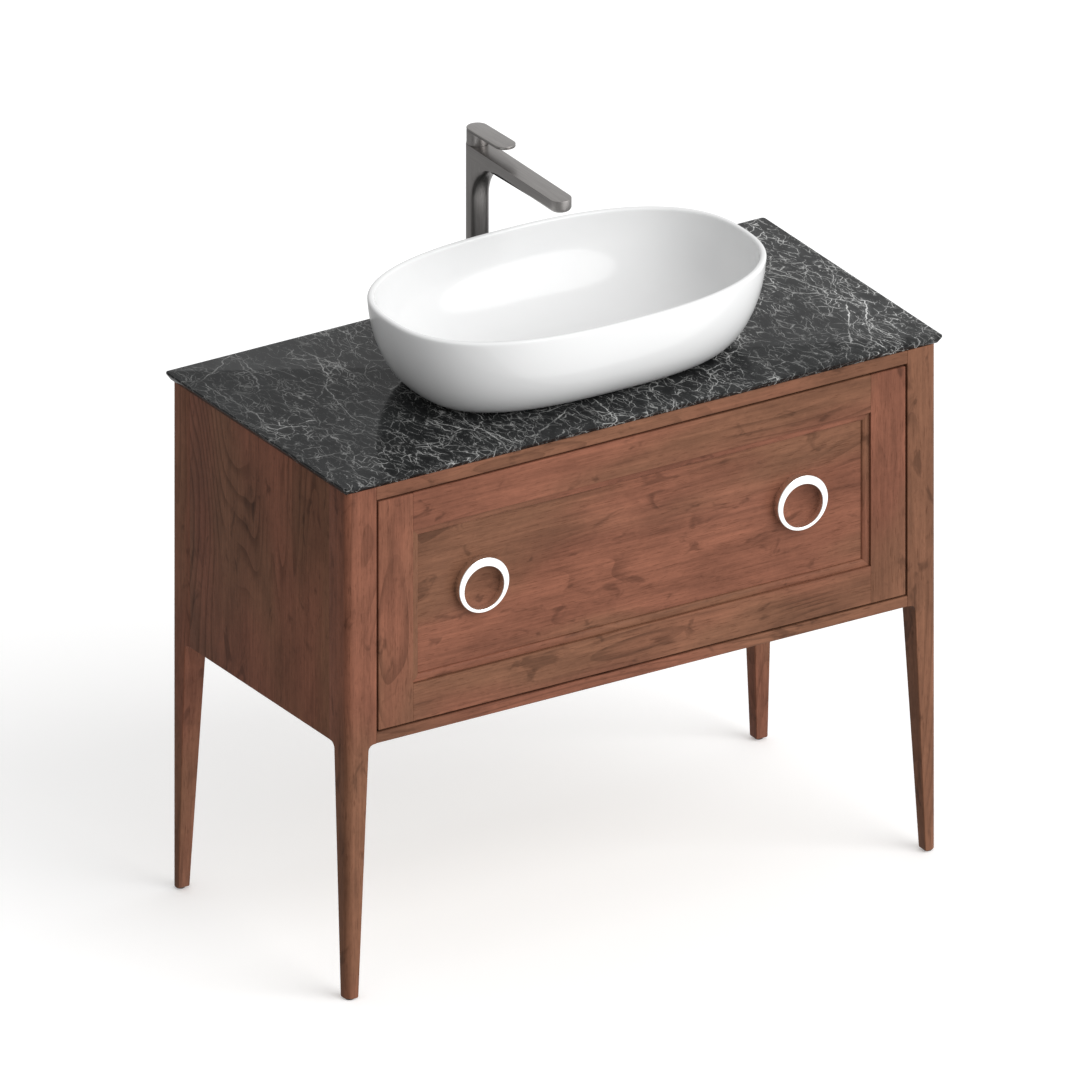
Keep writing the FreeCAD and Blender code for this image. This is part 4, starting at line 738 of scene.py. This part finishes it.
def tap_body():
    """Column, hollow flare and spout in one skin, then the lever's seat, its bore and the aerator's mouth."""
    half, reach, blend, edge = TAP["round"], TAP["reach"], TAP["blend"], TAP["edge"]
    under = SPOUT_TOP - TAP["thick"]
    foot = spout_low.z

    def even(inset):
        return lambda forward: inset

    def faded(inset):
        return lambda forward: inset * min(max((forward - blend) / TAP["edge_fade"], 0.0), 1.0)

    rings = [slot_ring(half, 0, foot, even(TAP["foot_edge"]), blend),
             slot_ring(half, 0, foot + TAP["foot_edge"], even(0), blend)]
    for step in range(1, 8):
        rings.append(slot_ring(half, 0, foot + (under - blend - foot) * step / 8, even(0), blend))
    for turn in quarter(30):
        out, down = blend * (1 - math.cos(turn)), blend * (1 - math.sin(turn))
        rings.append(slot_ring(half, out, under - down, even(0), blend))
    for turn in quarter(8):
        inset = faded(edge * (1 - math.sin(turn)))
        rings.append(slot_ring(half, reach, under + edge * (1 - math.cos(turn)), inset, blend))
    for turn in quarter(4):
        inset = even(TAP["top_edge"] * (1 - math.cos(turn)))
        rings.append(slot_ring(half, reach, SPOUT_TOP - TAP["top_edge"] * (1 - math.sin(turn)), inset, blend))
    body = mesh_from("tap_blank", *skinned(rings))
    deep, edge_turn = SPOUT_TOP - TAP["bore_deep"], math.acos(TAP["bore"] / TAP["seat"])
    pocket = [(0.0, deep), (TAP["bore"], deep)]
    for step in range(0, 17):
        turn = edge_turn * (1 - step / 16)
        pocket.append((TAP["seat"] * math.cos(turn), PIVOT - TAP["seat"] * math.sin(turn)))
    pocket += [(TAP["seat"], PIVOT + TAP["seat"]), (0.0, PIVOT + TAP["seat"])]
    bore = mesh_from("bore_rod", *spun(pocket, TAP_AT))
    tip = TAP_AT + Vector((0, -reach, 0))
    mouth = mesh_from("mouth_rod", *skinned([circle(tip + Vector((0, 0, height)), TAP["mouth"])
                                             for height in (under - 10 * MM, under + TAP["mouth_deep"])]))
    return carved(body, bore, mouth)


piece("tap_body", tap_body(), GUNMETAL)

LEVER = {"half": 15.6 * MM, "reach": 73 * MM, "thick": 4.6 * MM, "rise": 1.7, "edge": 0.9 * MM,
         "hub": 15.6 * MM, "hub_tall": 20.5 * MM, "ball": 16.71 * MM, "bore": 11 * MM, "bore_tall": 13 * MM,
         "dome": 5.4 * MM, "groove": 0.3 * MM}


def lever():
    """A drum with a ball foot that is hollow inside, and the flat plate on it that is the handle."""
    half, edge = LEVER["half"], LEVER["edge"]
    top = SPOUT_TOP + LEVER["hub_tall"]
    levels = [(edge * (1 - math.sin(turn)), edge * (1 - math.cos(turn))) for turn in quarter(4)]
    levels += [(LEVER["thick"] - height, inset) for height, inset in levels]
    rings = [slot_ring(half, LEVER["reach"], height, lambda forward, inset=inset: inset, 30 * MM)
             for height, inset in levels]
    tilt = Matrix.Rotation(math.radians(-LEVER["rise"]), 4, "X")
    start = TAP_AT + Vector((0, 0, top))
    plate = skinned([[start + tilt @ (point - TAP_AT) for point in ring] for ring in rings])
    inner = LEVER["hub"] - LEVER["groove"]
    outline = [(inner, top + 0.9 * MM), (0.0, top + 0.9 * MM)]
    for step in range(7):
        turn = math.pi / 2 * (1 - step / 6)
        outline.append((LEVER["bore"] * math.cos(turn),
                        SPOUT_TOP + LEVER["bore_tall"] + LEVER["dome"] * math.sin(turn)))
    low_turn = math.acos(LEVER["bore"] / LEVER["ball"])
    high_turn = math.acos(LEVER["hub"] / LEVER["ball"])
    for step in range(9):
        turn = low_turn + (high_turn - low_turn) * step / 8
        outline.append((LEVER["ball"] * math.cos(turn), PIVOT - LEVER["ball"] * math.sin(turn)))
    outline += [(LEVER["hub"], SPOUT_TOP + 0.4 * MM), (LEVER["hub"], top - 1.1 * MM), (inner, top - 0.7 * MM)]
    return joined(plate, spun(outline, TAP_AT))


made("lever", lever(), LEVER_METAL)


def aerator():
    """A ring that holds a plate of small water holes."""
    low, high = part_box("aerator")
    centre = Vector(((low.x + high.x) / 2, (low.y + high.y) / 2, 0))
    radius = (high.x - low.x) / 2 - 0.05 * MM
    wall, top, soft = 1.6 * MM, high.z - 0.2 * MM, 0.5 * MM
    outline = rectangle((radius - wall, low.z), (radius, top), (soft, soft, 0, 0), 3)
    face, jet, jet_deep = low.z + 2.6 * MM, 0.8 * MM, 3 * MM
    holes, walls = [], []
    for row, count in ((3.0 * MM, 6), (6.4 * MM, 12)):
        for number in range(count):
            angle = 2 * math.pi * number / count
            spot = centre + Vector((row * math.cos(angle), row * math.sin(angle), 0))
            mouth = circle(spot + Vector((0, 0, face)), jet, 12)
            deep = circle(spot + Vector((0, 0, face + jet_deep)), jet, 12)
            holes.append(mouth)
            walls += [walled(mouth, deep), filled([deep])]
    rim, roof = (circle(centre + Vector((0, 0, height)), radius - 1.5 * MM, 48) for height in (face, top))
    plate = joined(filled([rim] + holes), walled(rim, roof), filled([roof]), *walls)
    return joined(spun(outline, centre, steps=48), plate)


made("aerator", aerator(), CHROME)

# --- Drawer front ---

STILE = 58 * MM
stile_low, stile_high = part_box("drawer_stile_left")
FACE_Y, BACK_Y = stile_low.y, stile_high.y
FACE_HALF = -stile_low.x
STILE_IN = FACE_HALF - STILE
FACE_LOW, FACE_TOP = stile_low.z, stile_high.z
PANEL_LOW, PANEL_TOP = FACE_LOW + STILE, FACE_TOP - STILE
for side_name, sign in (("left", -1), ("right", 1)):
    near, far = sorted((sign * STILE_IN, sign * FACE_HALF))
    soft = (ARRIS, HAIR, HAIR, HAIR) if sign < 0 else (HAIR, ARRIS, HAIR, HAIR)
    board = planed(Vector((near, FACE_Y, FACE_LOW)), Vector((far, BACK_Y, FACE_TOP)), 2, soft, 0.8 * MM)
    made(f"drawer_stile_{side_name}", board, walnut(f"drawer_stile_{side_name}", "z", 0.9))
for node, low_z, high_z, soft, figure in (
        ("drawer_rail_top", PANEL_TOP, FACE_TOP, (HAIR, HAIR, HAIR, ARRIS), 0.9),
        ("drawer_rail_bottom", FACE_LOW, PANEL_LOW, (ARRIS, HAIR, HAIR, HAIR), 1.3)):
    board = planed(Vector((-STILE_IN, FACE_Y, low_z)), Vector((STILE_IN, BACK_Y, high_z)), 0, soft)
    made(node, board, walnut(node, "x", figure))

BEAD = {"wide": 12 * MM, "step": 4 * MM, "thick": 7 * MM, "panel": 8 * MM, "fillet": 7.6 * MM,
        "quirk": 8.1 * MM, "slope_wide": 3.6 * MM, "slope_deep": 3.4 * MM}


def beading(side):
    """One mitred length of moulding: a fillet, a quirk and a rounded slope down to the panel."""
    face, deep, quirk = BEAD["step"], BEAD["step"] + BEAD["thick"], BEAD["quirk"]
    profile = [(0.15 * MM, deep), (0.15 * MM, face + 0.5 * MM), (0.6 * MM, face + 0.05 * MM),
               (BEAD["fillet"], face + 0.05 * MM), (quirk, face + 0.35 * MM)]
    for turn in quarter(7, 1):
        profile.append((quirk + BEAD["slope_wide"] * math.sin(turn),
                        face + 0.5 * MM + BEAD["slope_deep"] * (1 - math.cos(turn))))
    profile.append((BEAD["wide"] - 0.1 * MM, deep))
    middle, half = (PANEL_TOP + PANEL_LOW) / 2, (PANEL_TOP - PANEL_LOW) / 2
    ends = []
    for end in (-1, 1):
        ring = []
        for inward, depth in profile:
            across, up = {"top": (end * (STILE_IN - inward), PANEL_TOP - inward),
                          "bottom": (end * (STILE_IN - inward), PANEL_LOW + inward),
                          "left": (-STILE_IN + inward, middle + end * (half - inward)),
                          "right": (STILE_IN - inward, middle + end * (half - inward))}[side]
            ring.append((across, FACE_Y + depth, up))
        ends.append(ring)
    return skinned(ends)


made("beads_level", joined(beading("top"), beading("bottom")), walnut("beads_level", "x", 0.6))
made("beads_upright", joined(beading("left"), beading("right")), walnut("beads_upright", "z", 0.6))

pull_low, pull_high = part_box("pull_left")
PULL = {"radius": (pull_high.z - pull_low.z) / 2, "opening": 32.8 * MM, "drop": 4 * MM, "dish": 6 * MM}
PULL_Z = (pull_low.z + pull_high.z) / 2
PULL_X = abs(pull_low.x + pull_high.x) / 2
PANEL_FACE, PANEL_BACK = FACE_Y + BEAD["panel"], 9 * MM


def drawer_panel():
    """The flat panel with two shallow round dishes turned into it."""
    dish_radius = PULL["opening"]
    ball = (dish_radius ** 2 + PULL["dish"] ** 2) / (2 * PULL["dish"])
    inner_x, low_z, high_z = STILE_IN - BEAD["wide"], PANEL_LOW + BEAD["wide"], PANEL_TOP - BEAD["wide"]
    back = PANEL_FACE + PANEL_BACK
    corners = [(-inner_x, low_z), (inner_x, low_z), (inner_x, high_z), (-inner_x, high_z)]
    front_loop = [Vector((a, PANEL_FACE, b)) for a, b in corners]
    back_loop = [Vector((a, back, b)) for a, b in corners]
    parts = [walled(front_loop, back_loop), filled([back_loop])]
    loops = [front_loop]
    for sign in (-1, 1):
        rings = []
        for step in range(15):
            radius = dish_radius * (1 - step / 15)
            depth = math.sqrt(ball ** 2 - radius ** 2) - (ball - PULL["dish"])
            centre = Vector((sign * PULL_X, PANEL_FACE + depth, PULL_Z - PULL["drop"]))
            rings.append(circle(centre, radius, 72, "y"))
        loops.append(rings[0])
        parts += [walled(rings[step], rings[step + 1]) for step in range(len(rings) - 1)]
        parts.append(filled([rings[-1]]))
    return joined(filled(loops), *parts)


made("drawer_panel", drawer_panel(), walnut("drawer_panel", "x", 0.8))


def pull(node):
    """A flat ring, thick at the top and thin at the bottom, with rounded front edges."""
    low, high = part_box(node)
    centre = Vector(((low.x + high.x) / 2, 0, (low.z + high.z) / 2))
    rings = []
    for step in range(144):
        angle = 2 * math.pi * step / 144
        way = Vector((math.cos(angle), 0, math.sin(angle)))
        inner = centre - Vector((0, 0, PULL["drop"])) + way * PULL["opening"]
        across = centre + way * PULL["radius"] - inner
        profile = rectangle((0, low.y), (across.length, high.y), (1.2 * MM, 1.5 * MM, 0.2 * MM, 0.2 * MM), 6)
        rings.append([inner + across.normalized() * out + Vector((0, along, 0)) for out, along in profile])
    return skinned(rings, True)


for side_name in ("left", "right"):
    made(f"pull_{side_name}", pull(f"pull_{side_name}"), RING_METAL)

# --- Drawer box, slides and small parts ---

BIRCH = {"box_front": "x", "box_side_left": "y", "box_side_right": "y", "box_back": "x", "notch_sides": "y",
         "notch_front": "x", "box_bottom": "x"}
for number, (node, grain) in enumerate(BIRCH.items()):
    dressed(NODES[node].data, plywood(f"birch_{node}", grain, 60 + number))

for node in ("waste_nut", "tap_nut", "tap_clamp", "lever_pin", "cartridge_stem", "cartridge",
             "trap_outlet_pipe", "trap_body", "trap_cup", "trap_inlet_nut", "trap_outlet_nut", "waste_seal",
             "waste_washer", "plug_seal", "trap_inlet_seal", "tap_base_seal", "foot_glides", "tap_shank",
             "waste_body", "waste_plug"):
    smooth = cleaned(NODES[node].data.copy(), outward=False)
    smooth.name = f"finished_{node}"
    piece(node, smooth, PLAIN[SLOT[node]])
for node in ("slides_cabinet", "slides_drawer", "slide_mid_left", "slide_mid_right"):
    dressed(NODES[node].data, PLAIN[SLOT[node]])

# --- Repeated small things ---

def copying_tree():
    """Geometry nodes: one item on every point, turned as the point says, made real and given its material."""
    tree = bpy.data.node_groups.new("copies_on_points", "GeometryNodeTree")
    face = tree.interface
    face.new_socket("Geometry", in_out="INPUT", socket_type="NodeSocketGeometry")
    names = {}
    for name, kind in (("Item", "NodeSocketObject"), ("Finish", "NodeSocketMaterial")):
        names[name] = face.new_socket(name, in_out="INPUT", socket_type=kind).identifier
    face.new_socket("Geometry", in_out="OUTPUT", socket_type="NodeSocketGeometry")
    start, end, points, item, turn, rotation, copies, real, finish = (tree.nodes.new(kind) for kind in (
        "NodeGroupInput", "NodeGroupOutput", "GeometryNodeMeshToPoints", "GeometryNodeObjectInfo",
        "GeometryNodeInputNamedAttribute", "FunctionNodeEulerToRotation", "GeometryNodeInstanceOnPoints",
        "GeometryNodeRealizeInstances", "GeometryNodeSetMaterial"))
    turn.data_type = "FLOAT_VECTOR"
    turn.inputs["Name"].default_value = "turn"
    for giver, output, taker, socket in (
            (start, "Geometry", points, "Mesh"), (start, "Item", item, "Object"),
            (points, "Points", copies, "Points"), (item, "Geometry", copies, "Instance"),
            (turn, 0, rotation, 0), (rotation, 0, copies, "Rotation"),
            (copies, "Instances", real, "Geometry"), (real, "Geometry", finish, "Geometry"),
            (start, "Finish", finish, "Material"), (finish, "Geometry", end, "Geometry")):
        tree.links.new(giver.outputs[output], taker.inputs[socket])
    return tree, names


COPIES, COPY_INPUTS = copying_tree()


def copied(name, item_mesh, places, material):
    """The mesh of one item on many places; each is a point and the way the item's own Z axis faces there."""
    mesh = bpy.data.meshes.new(f"{name}_points")
    mesh.from_pydata([tuple(point) for point, way in places], [], [])
    turns = mesh.attributes.new("turn", "FLOAT_VECTOR", "POINT")
    for number, (point, way) in enumerate(places):
        turns.data[number].vector = Vector(way).to_track_quat("Z", "Y").to_euler()
    spots, item = placed(f"{name}_points", mesh), placed(f"{name}_item", item_mesh)
    step = spots.modifiers.new("copies", "NODES")
    step.node_group = COPIES
    step[COPY_INPUTS["Item"]], step[COPY_INPUTS["Finish"]] = item, material
    result = settled(spots, item)
    result.name = name
    return result


def screw_item(head, head_tall, shank, length):
    """A screw that points down its own Z axis: a domed head with a cross recess, and a threaded shank."""
    outline = [(0.0, head_tall), (head * 0.45, head_tall * 0.93), (head * 0.80, head_tall * 0.66),
               (head, head_tall * 0.18), (head, 0.0), (shank * 0.92, 0.0)]
    pitch = 1.1 * MM
    for turn in range(int((length - 3 * shank) / pitch)):
        height = -2 * shank - turn * pitch
        outline += [(shank * 0.80, height), (shank, height - 0.45 * MM), (shank * 0.80, height - 0.7 * MM)]
    outline += [(shank * 0.35, -length + shank * 0.9), (0.0, -length)]
    body = mesh_from("screw_blank", *spun(outline, Vector(), steps=24))
    deep, wide, arm = head_tall * 0.62, head * 0.13, head * 0.55
    cutters = []
    for across, along in ((arm, wide), (wide, arm)):
        low, high = Vector((-across, -along, head_tall - deep)), Vector((across, along, head_tall * 2))
        corners = [(low.x, low.y), (high.x, low.y), (high.x, high.y), (low.x, high.y)]
        rings = [[Vector((a * share, b * share, height)) for a, b in corners]
                 for share, height in ((0.7, low.z), (1.0, high.z))]
        cutters.append(mesh_from("cross_arm", *skinned(rings)))
    return carved(body, *cutters)


def solid_boxes(node):
    """The box of each separate solid in a CAD node."""
    shape = bmesh.new()
    shape.from_mesh(NODES[node].data)
    bmesh.ops.remove_doubles(shape, verts=shape.verts, dist=0.002 * MM)
    found, seen = [], set()
    for start in shape.verts:
        if start in seen:
            continue
        group, queue = [], [start]
        seen.add(start)
        while queue:
            vertex = queue.pop()
            group.append(vertex.co.copy())
            others = [edge.other_vert(vertex) for edge in vertex.link_edges]
            fresh = [other for other in others if other not in seen]
            seen.update(fresh)
            queue += fresh
        found.append([Vector(pick(point[axis] for point in group) for axis in range(3))
                      for pick in (min, max)])
    shape.free()
    return found


def screw_set(node, head, shank, axis):
    """Screws in the places of a CAD node's own; heads face the middle of the cabinet, or the back."""
    places, length, tall = [], 0.0, 1.2 * MM
    for low, high in solid_boxes(node):
        seat = (low + high) / 2
        toward = -math.copysign(1, seat.x) if axis == 0 else 1
        way = Vector((toward if number == axis else 0 for number in range(3)))
        seat[axis] = (high[axis] if toward > 0 else low[axis]) - toward * tall
        length = high[axis] - low[axis] - tall
        places.append((seat, way))
    piece(node, copied(f"finished_{node}", screw_item(head, tall, shank, length), places, SCREW), SCREW)


screw_set("batten_screws", 3.6 * MM, 1.75 * MM, 0)
screw_set("slide_screws", 2.9 * MM, 1.6 * MM, 0)
screw_set("front_screws", 3.6 * MM, 1.75 * MM, 1)
screw_set("pull_screws", 3.2 * MM, 1.4 * MM, 1)

# --- Floor, light and camera ---

def stage_floor():
    """A plain pale floor."""
    far = 40.0
    mesh = bpy.data.meshes.new("pale_floor")
    mesh.from_pydata([(-far, -far, 0), (far, -far, 0), (far, far, 0), (-far, far, 0)], [], [(0, 1, 2, 3)])
    floor = placed("pale_floor", mesh)
    finish = Finish("pale_floor", Specular_IOR_Level=0.2, Emission_Color=(1, 1, 1, 1), Emission_Strength=0.22)
    soft = finish.noise(finish.place(), 1.5, 2)
    colour = finish.mixed((0.90, 0.90, 0.90), (0.92, 0.92, 0.92), soft)
    finish.coat(Base_Color=colour, Roughness=0.8 + 0.05 * soft)
    mesh.materials.append(finish.material)
    floor.visible_glossy = False
    floor.visible_diffuse = False
    floor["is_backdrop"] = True


def studio_world():
    """Soft light from all round, brighter from the right and above."""
    world = bpy.data.worlds.new("studio")
    bpy.context.scene.world = world
    world.use_nodes = True
    tree = world.node_tree
    tree.nodes.clear()
    place = tree.nodes.new("ShaderNodeTexCoord")
    both = tree.nodes.new("ShaderNodeMath")
    # Each part of the light: the way it comes from, where it starts and is full, its least and most strength.
    for number, (way, *steps) in enumerate((((0.8, -0.35, 0.4), -0.5, 0.3, 0.54, 1.05),
                                            ((0.48, -0.77, -0.41), 0.70, 0.97, 0.0, 0.9))):
        toward = tree.nodes.new("ShaderNodeVectorMath")
        toward.operation = "DOT_PRODUCT"
        toward.inputs[1].default_value = Vector(way).normalized()
        tree.links.new(place.outputs["Generated"], toward.inputs[0])
        soften = tree.nodes.new("ShaderNodeMapRange")
        soften.interpolation_type = "SMOOTHSTEP"
        for socket, value in enumerate(steps, 1):
            soften.inputs[socket].default_value = value
        tree.links.new(toward.outputs["Value"], soften.inputs[0])
        tree.links.new(soften.outputs[0], both.inputs[number])
    sky = tree.nodes.new("ShaderNodeBackground")
    tree.links.new(both.outputs[0], sky.inputs["Strength"])
    out = tree.nodes.new("ShaderNodeOutputWorld")
    tree.links.new(sky.outputs[0], out.inputs[0])


def softbox(name, toward, strength, spread):
    """A far, broad light from one direction."""
    light = bpy.data.lights.new(name, "SUN")
    light.energy, light.angle = strength, math.radians(spread)
    lamp = placed(name, light)
    lamp.location = Vector(toward) * 5
    lamp.rotation_mode = "QUATERNION"
    lamp.rotation_quaternion = (-Vector(toward)).to_track_quat("-Z", "Y")


stage_floor()
studio_world()
softbox("key", (0.37, -0.75, 0.55), 1.68, 50)

AZIMUTH, ELEVATION = math.radians(-32.01), math.radians(24.36)
level = math.cos(ELEVATION)
back = Vector((math.sin(AZIMUTH) * level, -math.cos(AZIMUTH) * level, math.sin(ELEVATION)))
right = Vector((math.cos(AZIMUTH), math.sin(AZIMUTH), 0))
up = back.cross(right)
eye = bpy.data.cameras.new("eye")
eye.type = "ORTHO"
eye.ortho_scale = 1.5287
eye.clip_end = 50
camera = placed("eye", eye)
camera.rotation_mode = "QUATERNION"
camera.rotation_quaternion = (-back).to_track_quat("-Z", "Y")
camera.location = right * -0.0200 + up * 0.4645 + back * 6
bpy.context.scene.camera = camera
bpy.context.scene.view_settings.view_transform = "Standard"

low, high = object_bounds()
